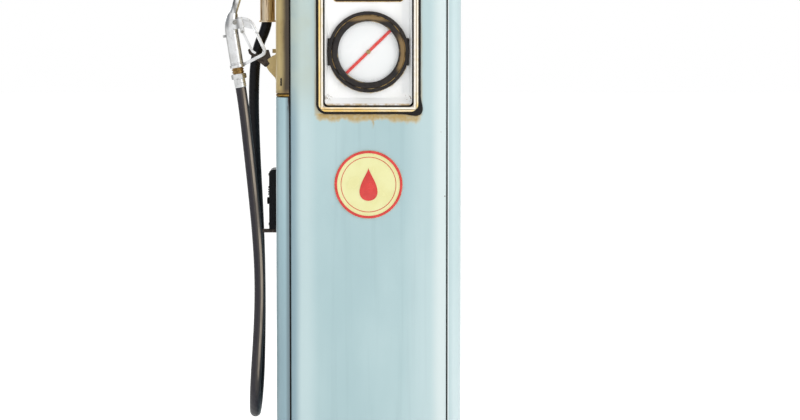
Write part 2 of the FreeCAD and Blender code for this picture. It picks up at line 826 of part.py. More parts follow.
def nozzle_body():
    """Collar, straight grip and a bend that narrows to the neck of the spout."""
    collar_start, body_start = fitting_levels()[2:]
    collar = rod(COLLAR_RADIUS, V(0, 0, collar_start), V(0, 0, body_start))
    collar = collar.makeFillet(COLLAR_ROUND, [e for e in collar.Edges if len(e.Vertexes) == 1])
    grip = rod(BODY_RADIUS, V(0, 0, body_start - 1), V(0, 0, BEND_START))
    sections = []
    shoulder = BODY_RADIUS - NECK_SHOULDER
    neck = SPOUT_RADIUS + NECK_STEP
    for share, radius in ((0, BODY_RADIUS), (1 / 3, BODY_RADIUS), (2 / 3, shoulder), (1, neck)):
        x, z = bend_point(share * NECK_ANGLE)
        turn = math.radians(share * NECK_ANGLE)
        axis = V(math.sin(turn), 0, math.cos(turn))
        sections.append(Part.Wire(Part.makeCircle(radius, V(x, 0, z), axis)))
    bend = Part.makeLoft(sections, True, False)
    nub_start = V(NUB_SINK - BODY_RADIUS, 0, NUB_HEIGHT)
    nub = rod(NUB_RADIUS, nub_start, nub_start - X_AXIS * (NUB_LENGTH + NUB_SINK))
    return place_nozzle(collar.fuse(grip).fuse(bend).fuse(nub).removeSplitter())


def nozzle_valve_cap():
    """The squared valve housing on the cabinet side, with the ears that carry the trigger."""
    half_width = CAP_BLOCK_WIDTH / 2
    half_height = CAP_BLOCK_HEIGHT / 2
    half_depth = CAP_BLOCK_DEPTH / 2
    block = box(-half_width, half_width, -half_depth, half_depth, -half_height, half_height)
    block = block.makeFillet(CAP_BLOCK_ROUND, block.Edges)
    block.rotate(V(0, 0, 0), Y_AXIS, -CAP_BLOCK_TILT)
    block.translate(V(CAP_BLOCK_X, 0, CAP_BLOCK_Z))
    inner = TRIGGER_DEPTH / 2 + EAR_GAP
    ear_top = CAP_BLOCK_Z - half_height + EAR_SINK
    for y in (-inner - TRIGGER_EAR, inner):
        ear = rod(
            TRIGGER_EYE_RADIUS,
            V(TRIGGER_PIVOT_X, y, TRIGGER_PIVOT_Z),
            V(TRIGGER_PIVOT_X, y + TRIGGER_EAR, TRIGGER_PIVOT_Z),
        )
        stem = box(
            TRIGGER_PIVOT_X - TRIGGER_EYE_RADIUS,
            TRIGGER_PIVOT_X + TRIGGER_EYE_RADIUS,
            y,
            y + TRIGGER_EAR,
            TRIGGER_PIVOT_Z,
            ear_top,
        )
        block = block.fuse(ear).fuse(stem)
    reach = inner + TRIGGER_EAR
    pin = rod(
        TRIGGER_PIN_RADIUS,
        V(TRIGGER_PIVOT_X, -reach, TRIGGER_PIVOT_Z),
        V(TRIGGER_PIVOT_X, reach, TRIGGER_PIVOT_Z),
    )
    return place_nozzle(block.fuse(pin)).cut(nozzle_body())


def nozzle_spout():
    x, z = bend_point(NECK_ANGLE)
    spout = rod(SPOUT_RADIUS, V(x, 0, z), V(x, 0, z) + neck_axis() * SPOUT_LENGTH)
    return place_nozzle(spout)


def neck_axis():
    turn = math.radians(NECK_ANGLE)
    return V(math.sin(turn), 0, math.cos(turn))


def bar_along(corners, radii, width, depth):
    """A flat bar of one width whose centreline runs through (x, z) corners."""
    points = [V(x, 0, z) for x, z in corners]
    centre = path_edges(points, radii)
    bar = None
    for edge in centre:
        start = edge.valueAt(edge.FirstParameter)
        direction = edge.tangentAt(edge.FirstParameter)
        across = V(direction.z, 0, -direction.x) * (width / 2)
        depth_half = Y_AXIS * (depth / 2)
        section = [
            start + across + depth_half,
            start - across + depth_half,
            start - across - depth_half,
            start + across - depth_half,
        ]
        profile = Part.Wire(Part.makePolygon(section + section[:1]))
        piece = Part.Wire([edge]).makePipeShell([profile], True, False)
        bar = piece if bar is None else bar.fuse(piece)
    return bar.removeSplitter()


def trigger_guard():
    start = (CAP_BLOCK_X, GUARD_TOP[1])
    corners = [start, GUARD_TOP, GUARD_FOOT, GUARD_FOOT_END]
    bends = [0, GUARD_TOP_BEND, GUARD_FOOT_BEND, 0]
    guard = bar_along(corners, bends, GUARD_BAR, GUARD_DEPTH)
    half = GUARD_WEB_THICKNESS / 2
    web = slab_xz(GUARD_WEB, GUARD_WEB_CORNER, -half, half)
    placed = place_nozzle(guard.fuse(web).removeSplitter())
    trimmed = placed.cut(nozzle_body()).cut(nozzle_valve_cap())
    return max(trimmed.Solids, key=lambda solid: solid.Volume)


def trigger():
    corners = [(TRIGGER_PIVOT_X, TRIGGER_PIVOT_Z), *TRIGGER_FINGER]
    bends = [0, TRIGGER_BEND, TRIGGER_HOOK_BEND, 0]
    lever = bar_along(corners, bends, TRIGGER_BAR, TRIGGER_DEPTH)
    half = TRIGGER_DEPTH / 2
    start = V(TRIGGER_PIVOT_X, -half, TRIGGER_PIVOT_Z)
    end = V(TRIGGER_PIVOT_X, half, TRIGGER_PIVOT_Z)
    lever = lever.fuse(rod(TRIGGER_EYE_RADIUS, start, end))
    hole = rod(TRIGGER_PIN_RADIUS + RUNNING_CLEARANCE, start - Y_AXIS, end + Y_AXIS)
    return place_nozzle(lever.cut(hole))


def nozzle_boot():
    """A hooded socket that the spout stands in, on a flange bolted to the cabinet's side."""
    x, z = bend_point(NECK_ANGLE)
    neck = V(x, 0, z)
    axis = neck_axis()
    spout_end = neck + axis * (SPOUT_LENGTH + BOOT_SEAT)
    mouth = spout_end - axis * BOOT_LENGTH
    hood = place_nozzle(rod(BOOT_RADIUS, mouth, spout_end + axis * BOOT_END))
    bore = place_nozzle(rod(BOOT_BORE_RADIUS, mouth - axis, spout_end))
    centre = hood.BoundBox.Center
    half = BOOT_FLANGE_HEIGHT / 2
    flange = box(
        SIDE_X - BOOT_FLANGE_THICKNESS,
        SIDE_X,
        NOZZLE_Y - BOOT_FLANGE_WIDTH / 2,
        NOZZLE_Y + BOOT_FLANGE_WIDTH / 2,
        centre.z - half,
        centre.z + half,
    )
    face = [e for e in flange.Edges if e.BoundBox.XLength > 1]
    flange = flange.makeFillet(BOOT_FLANGE_ROUND, face)
    web = box(
        centre.x,
        SIDE_X - BOOT_FLANGE_THICKNESS / 2,
        NOZZLE_Y - BOOT_WEB / 2,
        NOZZLE_Y + BOOT_WEB / 2,
        centre.z - half / 2,
        centre.z + half / 2,
    )
    return flange.fuse(web).fuse(hood).cut(bore)


# ---- Switch lever, switch box and hose arm ----


def offset_by(x, z, offsets):
    return [(x + across, z + up) for across, up in offsets]


def lever_bracket():
    """Two ears on a foot plate, the pin between them and a stud above for a padlock."""
    bottom = LEVER_Z - BRACKET_BELOW
    top = LEVER_Z + BRACKET_ABOVE
    lugs = [(-12, 21), (-25, 11), (-18, 1), (-27, -9), (-20, -20)]
    outline = [(SIDE_X, top), *offset_by(SIDE_X, LEVER_Z, lugs), (SIDE_X, bottom)]
    radii = [0.5, 3, 3, 1.5, 3, 3, 0.5]
    inner = LEVER_THICKNESS / 2 + LEVER_GAP
    reach = inner + BRACKET_EAR
    plate_x = SIDE_X - BRACKET_PLATE
    bracket = box(plate_x, SIDE_X, LEVER_Y - reach, LEVER_Y + reach, bottom, top)
    for y in (LEVER_Y - reach, LEVER_Y + inner):
        bracket = bracket.fuse(slab_xz(outline, radii, y, y + BRACKET_EAR))
    start = V(LEVER_X, LEVER_Y - reach, LEVER_Z)
    bracket = bracket.fuse(rod(LEVER_PIN_RADIUS, start, start + Y_AXIS * 2 * reach))
    half = STUD_HEIGHT / 2
    middle = LEVER_Z + STUD_ABOVE
    stud_x = SIDE_X - STUD_REACH
    stud = box(stud_x, SIDE_X, STUD_Y - half, STUD_Y + half, middle - half, middle + half)
    return Part.makeCompound([bracket, stud])


def switch_lever():
    """A cast cradle that the hung nozzle presses on, with a bumper at its tip."""
    under = [(-5, -7.5), (-18, -8.5), (-38, 7), (-62, 28)]
    tip = [(-65, 39), (-56, 42)]
    over = [(-46, 31), (-30, 20), (-21, 23), (-15, 38), (-8, 38), (-2, 17)]
    radii = [2, 3, 20, 6, 3, 3, 12, 8, 10, 2.5, 2.5, 2]
    outline = offset_by(LEVER_X, LEVER_Z, under + tip + over)
    half = LEVER_THICKNESS / 2
    arm = slab_xz(outline, radii, LEVER_Y - half, LEVER_Y + half)
    start = V(LEVER_X, LEVER_Y - half, LEVER_Z)
    arm = arm.fuse(rod(LEVER_BOSS_RADIUS, start, start + Y_AXIS * LEVER_THICKNESS))
    end = start + Y_AXIS * (LEVER_THICKNESS + 1)
    hole = rod(LEVER_PIN_RADIUS + RUNNING_CLEARANCE, start - Y_AXIS, end)
    return arm.cut(hole).removeSplitter()


def switch_box():
    half = BOX_DEPTH / 2
    case = box(
        SIDE_X - BOX_PROUD, SIDE_X, BOX_Y - half, BOX_Y + half, BOX_BOTTOM, BOX_BOTTOM + BOX_HEIGHT
    )
    outer = [
        e
        for e in case.Edges
        if e.BoundBox.XMax < SIDE_X - 1 and e.BoundBox.ZMin > BOX_BOTTOM + 1
    ]
    return case.makeFillet(BOX_RADIUS, outer)


def switch_knob():
    start = V(SIDE_X - BOX_PROUD, BOX_Y, BOX_BOTTOM + KNOB_ABOVE_BOX_FOOT)
    knob = rod(KNOB_RADIUS, start, start - X_AXIS * KNOB_LENGTH)
    rim = [e for e in knob.Edges if len(e.Vertexes) == 1 and e.BoundBox.XMax < start.x - 1]
    return knob.makeFillet(KNOB_ROUND, rim)


def hose_arm():
    """A bent rod on a foot plate that keeps the hose's back run off the cabinet."""
    plate = box(
        SIDE_X - ARM_PLATE_THICKNESS,
        SIDE_X,
        ARM_Y - ARM_PLATE_WIDTH / 2,
        ARM_Y + ARM_PLATE_WIDTH / 2,
        ARM_Z - ARM_PLATE_HEIGHT / 2,
        ARM_Z + ARM_PLATE_HEIGHT / 2,
    )
    foot = V(SIDE_X - ARM_PLATE_THICKNESS / 2, ARM_Y, ARM_Z)
    corner = V(SIDE_X - ARM_REACH, ARM_Y, ARM_Z)
    tip = corner + Z_AXIS * ARM_UPTURN
    path = Part.Wire(path_edges([foot, corner, tip], [0, ARM_BEND_RADIUS, 0]))
    section = Part.Wire(Part.makeCircle(ARM_RADIUS, foot, corner - foot))
    bar = path.makePipeShell([section], True, False)
    return plate.fuse(bar)


def all_pieces():
    trim_bottom = CASING_BOTTOM - TRIM_GAP - TRIM_HEIGHT
    pieces = {
        "base_plate": base_plate(),
        "plinth_skirt": plinth_skirt(),
        "inner_frame": inner_frame(),
        "right_side_panel": wrapped_panel(1, PANEL_BOTTOM, CABINET_TOP),
        "left_lower_side_panel": wrapped_panel(-1, PANEL_BOTTOM, trim_bottom - TRIM_GAP),
        "left_trim_strip": wrapped_panel(-1, trim_bottom, trim_bottom + TRIM_HEIGHT),
        "left_upper_side_panel": wrapped_panel(-1, CASING_BOTTOM, CABINET_TOP),
        "top_cap": top_cap(),
        "round_badge": round_badge(),
        "hose_outlet_casting": hose_outlet_casting(),
        "hose_outlet_sleeve": hose_outlet_sleeve(),
        "hose": hose(),
        "hose_ferrule": hose_ferrule(),
        "hose_nut": hose_nut(),
        "swivel_rings": swivel_rings(),
        "nozzle_body": nozzle_body(),
        "nozzle_valve_cap": nozzle_valve_cap(),
        "nozzle_spout": nozzle_spout(),
        "trigger_guard": trigger_guard(),
        "trigger": trigger(),
        "nozzle_boot": nozzle_boot(),
        "lever_bracket": lever_bracket(),
        "switch_lever": switch_lever(),
        "switch_box": switch_box(),
        "switch_knob": switch_knob(),
        "hose_arm": hose_arm(),
    }
    for name, shape in face_pieces().items():
        pieces["front_" + name] = shape
        pieces["rear_" + name] = turn_about_z(shape)
    return pieces


def main():
    os.makedirs("parts", exist_ok=True)
    pieces = all_pieces()
    for name, shape in pieces.items():
        valid = shape.isValid() and shape.Volume > 0
        print(name, len(shape.Solids), round(shape.Volume / 1000, 2), "" if valid else "NOT VALID")
        shape.exportStep(f"parts/{name}.step")
    pivot = nozzle_point(TRIGGER_PIVOT_X, TRIGGER_PIVOT_Z)
    print("trigger pivot", [round(value, 3) for value in pivot])
    print("nozzle axis", [round(value, 5) for value in nozzle_direction()])


main()
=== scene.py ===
# %% [markdown]
# # A 1950s fuel dispenser, dressed in Blender
#
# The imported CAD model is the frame: it says where every piece is, and it stays as it is.
# This lesson adds what makes it look real: the hose, enamel and brass, screws, rust and light.
# Lengths are in metres. +Z is up, -Y is out of the front, and the hose hangs on the -X side.

# %% Load the frame
import math

import bmesh
import bpy
from mathutils import Matrix, Vector


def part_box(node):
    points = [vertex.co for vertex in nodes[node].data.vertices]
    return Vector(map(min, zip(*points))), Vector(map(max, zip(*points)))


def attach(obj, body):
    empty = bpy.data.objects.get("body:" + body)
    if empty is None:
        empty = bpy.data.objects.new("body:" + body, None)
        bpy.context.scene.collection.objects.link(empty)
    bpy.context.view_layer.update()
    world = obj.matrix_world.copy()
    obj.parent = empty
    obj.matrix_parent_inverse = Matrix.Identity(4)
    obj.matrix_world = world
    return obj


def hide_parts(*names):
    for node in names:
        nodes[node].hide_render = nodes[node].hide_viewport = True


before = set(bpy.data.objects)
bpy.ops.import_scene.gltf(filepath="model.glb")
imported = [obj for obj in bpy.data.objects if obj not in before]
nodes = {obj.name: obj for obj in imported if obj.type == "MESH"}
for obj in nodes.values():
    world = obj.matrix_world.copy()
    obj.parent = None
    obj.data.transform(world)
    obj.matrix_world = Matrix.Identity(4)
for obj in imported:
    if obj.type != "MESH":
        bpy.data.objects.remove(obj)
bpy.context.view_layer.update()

# %% [markdown]
# ## The camera
#
# The dispenser was looked at from about eight metres with a long lens, a little above its dial.
# A short lens close by would show the sides of the cabinet and make the top look bigger.
# A lens shift could keep the uprights parallel, but at this distance a small tilt does as well.

# %% Camera
MM = 0.001


def linked(name, data):
    """A new object in the scene."""
    made = bpy.data.objects.new(name, data)
    bpy.context.collection.objects.link(made)
    return made


FRONT_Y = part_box("front_panel")[0].y
VIEW_FROM = Vector((0.0, FRONT_Y - 8.0, 1.398))
VIEW_AT = Vector((0.085, FRONT_Y, 0.791))
VIEW_WIDTH = 2.16  # metres across the picture at the front panel

camera_data = bpy.data.cameras.new("camera")
camera_data.sensor_width = 36.0
camera_data.lens = camera_data.sensor_width * (VIEW_AT - VIEW_FROM).length / VIEW_WIDTH
camera = linked("camera", camera_data)
camera.location = VIEW_FROM
camera.rotation_euler = (VIEW_AT - VIEW_FROM).to_track_quat("-Z", "Y").to_euler()
bpy.context.scene.camera = camera
print("lens", round(camera_data.lens, 1), "mm")

# %% [markdown]
# ## The hose
#
# A rubber hose of 29 mm leaves the brass sleeve behind, hangs in a long loop and comes up to
# the nozzle. It is heavy and stiff, so it has no kinks, only long bends.
# It could be swept as a mesh, but a NURBS curve needs only the points that it is drawn
# towards, and stays smooth between them. Its order and end rule are set after the points.
# The thickness is given at each point and the bevel is 1, so the curve's box is its real size.

# %% Hose
HOSE_DIAMETER = 0.029
HOSE_POINTS = [
    (-0.283, 0.160, 1.334),
    (-0.283, 0.160, 1.300),
    (-0.2912, 0.160, 1.267),
    (-0.3065, 0.160, 1.234),
    (-0.3166, 0.160, 1.193),
    (-0.3216, 0.160, 1.134),
    (-0.3225, 0.160, 1.040),
    (-0.3185, 0.160, 0.915),
    (-0.311, 0.160, 0.770),
    (-0.306, 0.160, 0.620),
    (-0.305, 0.160, 0.470),
    (-0.308, 0.160, 0.315),
    (-0.312, 0.103, 0.236),
    (-0.315, 0.010, 0.206),
    (-0.3135, -0.083, 0.236),
    (-0.3095, -0.140, 0.315),
    (-0.299, -0.140, 0.468),
    (-0.296, -0.140, 0.588),
    (-0.301, -0.140, 0.702),
    (-0.3135, -0.140, 0.838),
    (-0.327, -0.140, 0.965),
    (-0.3379, -0.140, 1.0657),
    (-0.3465, -0.140, 1.120),
]

# %% [markdown]
# The points are drawn towards, not passed through, so a bend stays round.

# %% Bar and cord
def curve_through(name, points, radius):
    """A round bar drawn towards each point, from the first to the last."""
    curve = bpy.data.curves.new(name, "CURVE")
    curve.dimensions = "3D"
    curve.resolution_u = 12
    curve.bevel_depth = 1.0
    curve.bevel_resolution = 8
    spline = curve.splines.new("NURBS")
    spline.points.add(len(points) - 1)
    for point, place in zip(spline.points, points):
        point.co = (*place, 1.0)
        point.radius = radius
    spline.order_u = 3
    spline.use_endpoint_u = True
    return linked(name, curve)


hose = curve_through("rubber_hose", HOSE_POINTS, HOSE_DIAMETER / 2)
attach(hose, "dispenser")
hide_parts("hose")

# %% [markdown]
# ## Nodes and sums
#
# Every finish is a small tree of nodes. One function adds a node, sets it and wires it, and
# one turns a colour's sRGB hex into the linear values that shaders work in. Each sum needs a
# node of its own, which is long to write, so a Value stands for a socket and adds them by
# itself: abs(x) - 0.2 makes two Math nodes.

# %% Nodes and sums
def srgb(code):
    shares = [int(code[i:i + 2], 16) / 255 for i in (1, 3, 5)]
    linear = [s / 12.92 if s <= 0.04045 else ((s + 0.055) / 1.055) ** 2.4 for s in shares]
    return (*linear, 1.0)


def add(tree, kind, inputs=None, **settings):
    """Adds a node. Settings are its properties; inputs are its sockets, each a value or a socket."""
    node = tree.nodes.new(kind)
    for key, value in settings.items():
        setattr(node, key, value)
    for key, value in (inputs or {}).items():
        value = getattr(value, "socket", value)
        if isinstance(value, bpy.types.NodeSocket):
            tree.links.new(value, node.inputs[key])
        else:
            node.inputs[key].default_value = value
    return node


def calc(operation, *values):
    """A Math node such as MAXIMUM or SQRT, on numbers and Values."""
    tree = next(value.tree for value in values if isinstance(value, Value))
    return Value(add(tree, "ShaderNodeMath", dict(enumerate(values)), operation=operation).outputs[0])


class Value:
    """A socket to reckon with: each +, -, *, / or abs() on it adds a Math node."""

    def __init__(self, socket):
        self.socket, self.tree = socket, socket.id_data

    def __add__(self, other):
        return calc("ADD", self, other)

    def __sub__(self, other):
        return calc("SUBTRACT", self, other)

    def __rsub__(self, other):
        return calc("SUBTRACT", other, self)

    def __mul__(self, other):
        return calc("MULTIPLY", self, other)

    def __truediv__(self, other):
        return calc("DIVIDE", self, other)

    def __abs__(self):
        return calc("ABSOLUTE", self)

# %% [markdown]
# ## Masks and coats
#
# A mask is a value from 0 to 1 that says where one coat ends and the next begins. A finish
# starts from one colour, and each coat is painted over it through a mask, as real layers of
# enamel, dust and rust lie on one another. All masks work on the object's own coordinates.

# %% Masks and coats
def rise(value, low, high):
    """A mask that is 0 at low and 1 at high, also where low is the larger of the two."""
    inputs = {"Value": value, "From Min": low, "From Max": high}
    node = add(value.tree, "ShaderNodeMapRange", inputs, interpolation_type="SMOOTHSTEP")
    return Value(node.outputs[0])


def blend(mask, first, second):
    """The first colour where the mask is 0 and the second where it is 1; a hex code or a Value."""
    pair = [srgb(c) if isinstance(c, str) else c for c in (first, second)]
    inputs = {0: mask, 6: pair[0], 7: pair[1]}
    return Value(add(mask.tree, "ShaderNodeMix", inputs, data_type="RGBA").outputs[2])

# %% [markdown]
# A finish keeps its tree, its shader and its coats so far. Noise and patches are made on the
# spot from the object's coordinates, at a size in metres.

# %% Finish
class Finish:
    """A material being made: its tree and shader, and the place on the object with its X, Y, Z."""

    def __init__(self, name, first, **sockets):
        self.material = bpy.data.materials.new(name)
        self.material.use_nodes = True
        self.tree = self.material.node_tree
        self.shader = self.tree.nodes["Principled BSDF"]
        self.set(**sockets)
        self.place = Value(add(self.tree, "ShaderNodeTexCoord").outputs["Object"])
        parts = add(self.tree, "ShaderNodeSeparateXYZ", {0: self.place}).outputs
        self.x, self.y, self.z = (Value(part) for part in parts)
        self.coats = first

    def set(self, **sockets):
        """Sets the shader's sockets, with _ for each space in a name."""
        for key, value in sockets.items():
            self.shader.inputs[key.replace("_", " ")].default_value = value

    def wire(self, value, name):
        self.tree.links.new(value.socket, self.shader.inputs[name])

    def paint(self, mask, colour):
        """Lays a colour over the coats so far, where the mask is 1."""
        self.coats = blend(mask, self.coats, colour)
        self.wire(self.coats, "Base Color")

    def noise(self, size, tall=1.0, detail=3.0, shift=0.0):
        """Noise whose lumps are about size metres wide and tall times as high."""
        inputs = {"Vector": self.place, "Location": (shift, shift, shift),
                  "Scale": (1.0 / size, 1.0 / size, 1.0 / (size * tall))}
        moved = add(self.tree, "ShaderNodeMapping", inputs).outputs[0]
        inputs = {"Vector": moved, "Scale": 1.0, "Detail": detail}
        return Value(add(self.tree, "ShaderNodeTexNoise", inputs).outputs[0])

    def patches(self, size, low, high, **how):
        return rise(self.noise(size, **how), low, high)

    def roughness(self, mask, smooth, rough):
        inputs = {"Value": mask, "To Min": smooth, "To Max": rough}
        self.wire(Value(add(self.tree, "ShaderNodeMapRange", inputs).outputs[0]), "Roughness")

    def relief(self, height, depth, under=None):
        """Height from 0 to 1 drawn depth metres deep, on top of an earlier relief."""
        inputs = {"Height": height, "Distance": depth, "Strength": 1.0}
        if under is not None:
            inputs["Normal"] = under
        bump = Value(add(self.tree, "ShaderNodeBump", inputs).outputs[0])
        self.wire(bump, "Normal")
        return bump


def dress(finish, *names):
    """Gives CAD nodes their finish through their material slots; the meshes stay as they are."""
    for name in names:
        data = nodes[name].data
        data.materials.clear()
        data.materials.append(finish.material)
    print(finish.material.name, "on", len(names), "nodes")

# %% [markdown]
# ## Blue enamel
#
# Stoving enamel on pressed steel: glossy once, chalky and soft after decades outdoors. It has
# faded unevenly, so broad clouds of two blues lie under thin streaks that the rain drew.
# Where the sheet is cut or clamped the steel has rusted, so brown bleeds out round the face's
# gasket, along the seams and round small chips. Painting this by hand on a texture would work,
# but masks on the object's own coordinates stay sharp and follow the pieces' real edges.

# %% Enamel with rust at its seams
FACE_LOW, FACE_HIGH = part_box("front_gasket")
FACE_MIDDLE_Z = (FACE_LOW.z + FACE_HIGH.z) / 2
FACE_HALF = ((FACE_HIGH.x - FACE_LOW.x) / 2, (FACE_HIGH.z - FACE_LOW.z) / 2)
PANEL_BLUES = ("#a6c1c5", "#b1cacd", "#9bb5ba")  # faded, fresh and rain-streaked
RUST = {"pale": "#c8b17e", "warm": "#b3924a", "dark": "#6b4c28", "chip": "#46352b", "seam": "#5d4c3c"}
UNCHIPPED = 0.62  # this share of the cells has no chip


def chip_mask(f, spacing, largest, shift):
    """Small chips: one cell in a few gets one, of its own size. Gives the chips and their edge."""
    reach = largest / spacing
    moved = add(f.tree, "ShaderNodeMapping", {"Vector": f.place, "Location": (shift, shift, shift)})
    inputs = {"Vector": moved.outputs[0], "Scale": 1.0 / spacing}
    cells = add(f.tree, "ShaderNodeTexVoronoi", inputs).outputs
    luck = Value(add(f.tree, "ShaderNodeSeparateXYZ", {0: cells["Color"]}).outputs[0])
    size = (luck - UNCHIPPED) * (reach / (1 - UNCHIPPED))
    edge = Value(cells["Distance"]) + f.noise(0.0022) * reach - size
    return rise(edge, reach * 0.75, reach * 0.45), edge


def seam_rust(f, seam_x, width):
    """Brown wear on the cut edge of a sheet that ends at |x| = seam_x."""
    away = abs(abs(f.x) - seam_x)
    near = rise(away + f.noise(0.012, tall=3.0) * width, width * 1.15, width * 0.4)
    soiled = f.patches(0.09, 0.38, 0.62, tall=2.0, shift=3.0)
    f.paint(near * (soiled * 0.75 + 0.2), RUST["seam"])


def blue_enamel(name, blues, seam_x, own_wear_and_light):
    """Faded, rain-streaked and chipped enamel with a rusty seam, and the piece's own wear and painted
    light on it.
    """
    faded, fresh, streak = blues
    f = Finish(name, faded, Roughness=0.4, IOR=1.5, Coat_Weight=0.15, Coat_Roughness=0.25)
    f.paint(f.patches(0.22, 0.35, 0.68, tall=2.4, detail=4.0), fresh)
    f.paint(f.patches(0.012, 0.5, 0.8, tall=40.0, detail=2.0) * 0.35, streak)
    seam_rust(f, seam_x, 0.006)
    chips, edge = chip_mask(f, 0.075, 0.0022, 0.31)
    f.paint(rise(edge, 0.07, 0.01) * 0.45, RUST["pale"])
    own_wear_and_light(f)
    f.paint(chips, RUST["chip"])
    clouds = f.patches(0.05, 0.3, 0.7, shift=5.0)
    f.roughness(calc("MAXIMUM", chips, clouds * 0.4), 0.34, 0.72)
    peel = f.relief(f.noise(0.006, detail=1.0), 0.00012)
    f.relief(1.0 - chips, 0.0004, under=peel)
    return f

# %% [markdown]
# Each side wears in its own way, and light is painted on both. The right one is painted paler than the
# left, as lit from the right, with painted shade where it turns in towards its seam and a painted
# highlight on the seam's curled edge. The left one is darker towards its foot, has painted shade on its
# round corner and beside its seam, a painted highlight in patches along its top edge, and rust in its
# upper front corner. Soot and dust settle on the cap's flat top.

# %% Side and cap enamel
def right_edge_light(f):
    # Painted shade where the side turns in towards its seam.
    f.paint(rise(f.x, 0.232, 0.218) * 0.7, "#b0c6c9")
    # A painted highlight on the curled edge at the seam.
    f.paint(rise(f.x, 0.2175, 0.2155) * 0.7, "#eef5f4")


def left_wear_and_shade(f):
    f.paint(rise(f.z, 0.85, 0.35) * 0.8, "#8aa6b0")
    # Painted shade where the round corner turns away from the light.
    corner_shade = rise(f.x, -0.24, -0.2485) * rise(f.y, -0.17, -0.19)
    f.paint(corner_shade * 0.7, "#80979e")
    # Painted shade beside the seam, where the strip curls in.
    f.paint(rise(f.x, -0.2265, -0.217) * 0.85, "#6a7d85")
    # A painted highlight in patches along the top edge, where it catches the light.
    top_edge_highlight = rise(f.z, 1.092, 1.1) * f.patches(0.01, 0.4, 0.55)
    f.paint(top_edge_highlight * 0.7, "#e3e8e4")
    reach = f.noise(0.007, tall=3.0, detail=5.0) * 0.014
    f.paint(rise(f.x + reach, -0.2115, -0.2085) * rise(f.z, 1.04, 1.09), "#2c241f")


def cap_wear(f):
    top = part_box("top_cap")[1].z
    dusty = f.patches(0.1, 0.25, 0.75, detail=5.0)
    f.paint(rise(f.z, top - 0.012, top - 0.001) * (dusty * 0.4 + 0.45), "#7f8d8c")


SIDE_SEAM, NO_SEAM = 0.214, 9.0
# The right side's paler blues and the left side's deeper ones partly stand in for light from the right:
# painted light.
right_enamel = blue_enamel("blue_enamel_right", ("#c2d6d8", "#cddee0", "#b6c9cb"), SIDE_SEAM, right_edge_light)
left_enamel = blue_enamel("blue_enamel_left", ("#a2bfc7", "#adc7cd", "#93adb6"), SIDE_SEAM, left_wear_and_shade)
cap_enamel = blue_enamel("blue_enamel_cap", PANEL_BLUES, NO_SEAM, cap_wear)
cap_enamel.set(Coat_Weight=0.0, Specular_IOR_Level=0.15)
dress(right_enamel, "right_side_panel")
dress(left_enamel, "left_lower_side_panel")
dress(cap_enamel, "top_cap")

# %% [markdown]
# The front and rear panels carry the same enamel with more on it: rust that has crept from
# under the gasket and run down, and a yellowed cloud beside the face. The distance to the
# gasket's rounded rectangle is the larger of two simple distances, so no drawing is needed.

# %% Front and rear panel enamel
def panel_wear_and_light(f):
    # Painted light: towards the hose's side the blue is painted deeper as shade, with a lighter band
    # just inside it, and towards the open side it is painted paler as lit.
    edge_light_x = f.x + f.noise(0.05, tall=6.0) * 0.006
    f.paint(rise(edge_light_x, -0.13, -0.165) * 0.6, "#c3d6d8")
    f.paint(rise(edge_light_x, -0.176, -0.199) * 0.95, "#8aa4ae")
    f.paint(rise(edge_light_x, 0.09, 0.15) * 0.45, "#c6d9db")
    f.paint(rise(edge_light_x, 0.165, 0.197) * 0.9, "#d5e1e1")
    side = abs(f.x) - FACE_HALF[0]
    above = abs(f.z - FACE_MIDDLE_Z) - FACE_HALF[1]
    outside = calc("MAXIMUM", side, above)

    clouds = f.patches(0.09, 0.3, 0.7, shift=7.0) * 0.5 + 0.5
    f.paint(rise(f.x, -0.12, -0.165) * rise(f.z, 1.0, 1.22) * clouds * 0.9, "#b7c2b6")

    # Beside the gasket a narrow stain; below it a wide one that fades downwards unevenly.
    uneven = f.noise(0.03, tall=3.0, detail=5.0)
    beside = rise(outside, 0.0075, 0.0)
    lower = rise(f.z, 1.5, 1.1) * 0.3 + 0.3
    beside = beside * rise(uneven, 0.3, 0.6) * lower
    drop = FACE_LOW.z - f.z
    ragged = f.noise(0.011, detail=5.0) * 0.012
    depth = (uneven - 0.2) * 0.055 + ragged
    share = drop / depth
    ends = rise(abs(f.x), 0.1475, 0.128)
    below = rise(share, 1.05, 0.35) * ends
    below = below * rise(drop, -0.004, 0.001)
    f.paint(beside * 0.9, RUST["warm"])
    f.paint(rise(below, 0.0, 0.5) * 0.55, RUST["pale"])
    mottle = f.patches(0.008, 0.3, 0.7, detail=5.0) * 0.4 + 0.5
    f.paint(rise(below, 0.25, 1.0) * mottle, RUST["warm"])
    foot = rise(abs(drop), 0.004, 0.0005) * ends * f.patches(0.02, 0.35, 0.6, shift=2.0)
    f.paint(foot * 0.6, RUST["dark"])

    run_x = abs(f.x - 0.012)
    run = rise(run_x, 0.006, 0.001) * rise(f.z, 1.008, 1.03) * f.patches(0.006, 0.35, 0.6, tall=2.0)
    f.paint(run * 0.8, RUST["warm"])


panel_enamel = blue_enamel("blue_enamel_panel", PANEL_BLUES, 0.2098, panel_wear_and_light)
print("panel enamel", len(panel_enamel.tree.nodes), "nodes")

# %% [markdown]
# ## Pieces of its own
#
# Some pieces are made here instead of coming from the CAD model. Each gets its finish and
# smooth faces and rides on the cabinet, and the ones on the face are there front and rear.

# %% Own pieces
def own(name, mesh, finish):
    """An object from a finished mesh: its finish, smooth faces with sharp edges, its body."""
    mesh.materials.clear()
    mesh.materials.append(finish.material)
    mesh.shade_smooth()
    mesh.set_sharp_from_angle(angle=math.radians(32))
    made = linked(name, mesh)
    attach(made, "dispenser")
    return made


def turned_to(side, mesh):
    """A mesh that was made for the front, or its copy turned half round for the rear."""
    if side == "front":
        return mesh
    copy = mesh.copy()
    copy.transform(Matrix.Rotation(math.pi, 4, "Z"))
    return copy


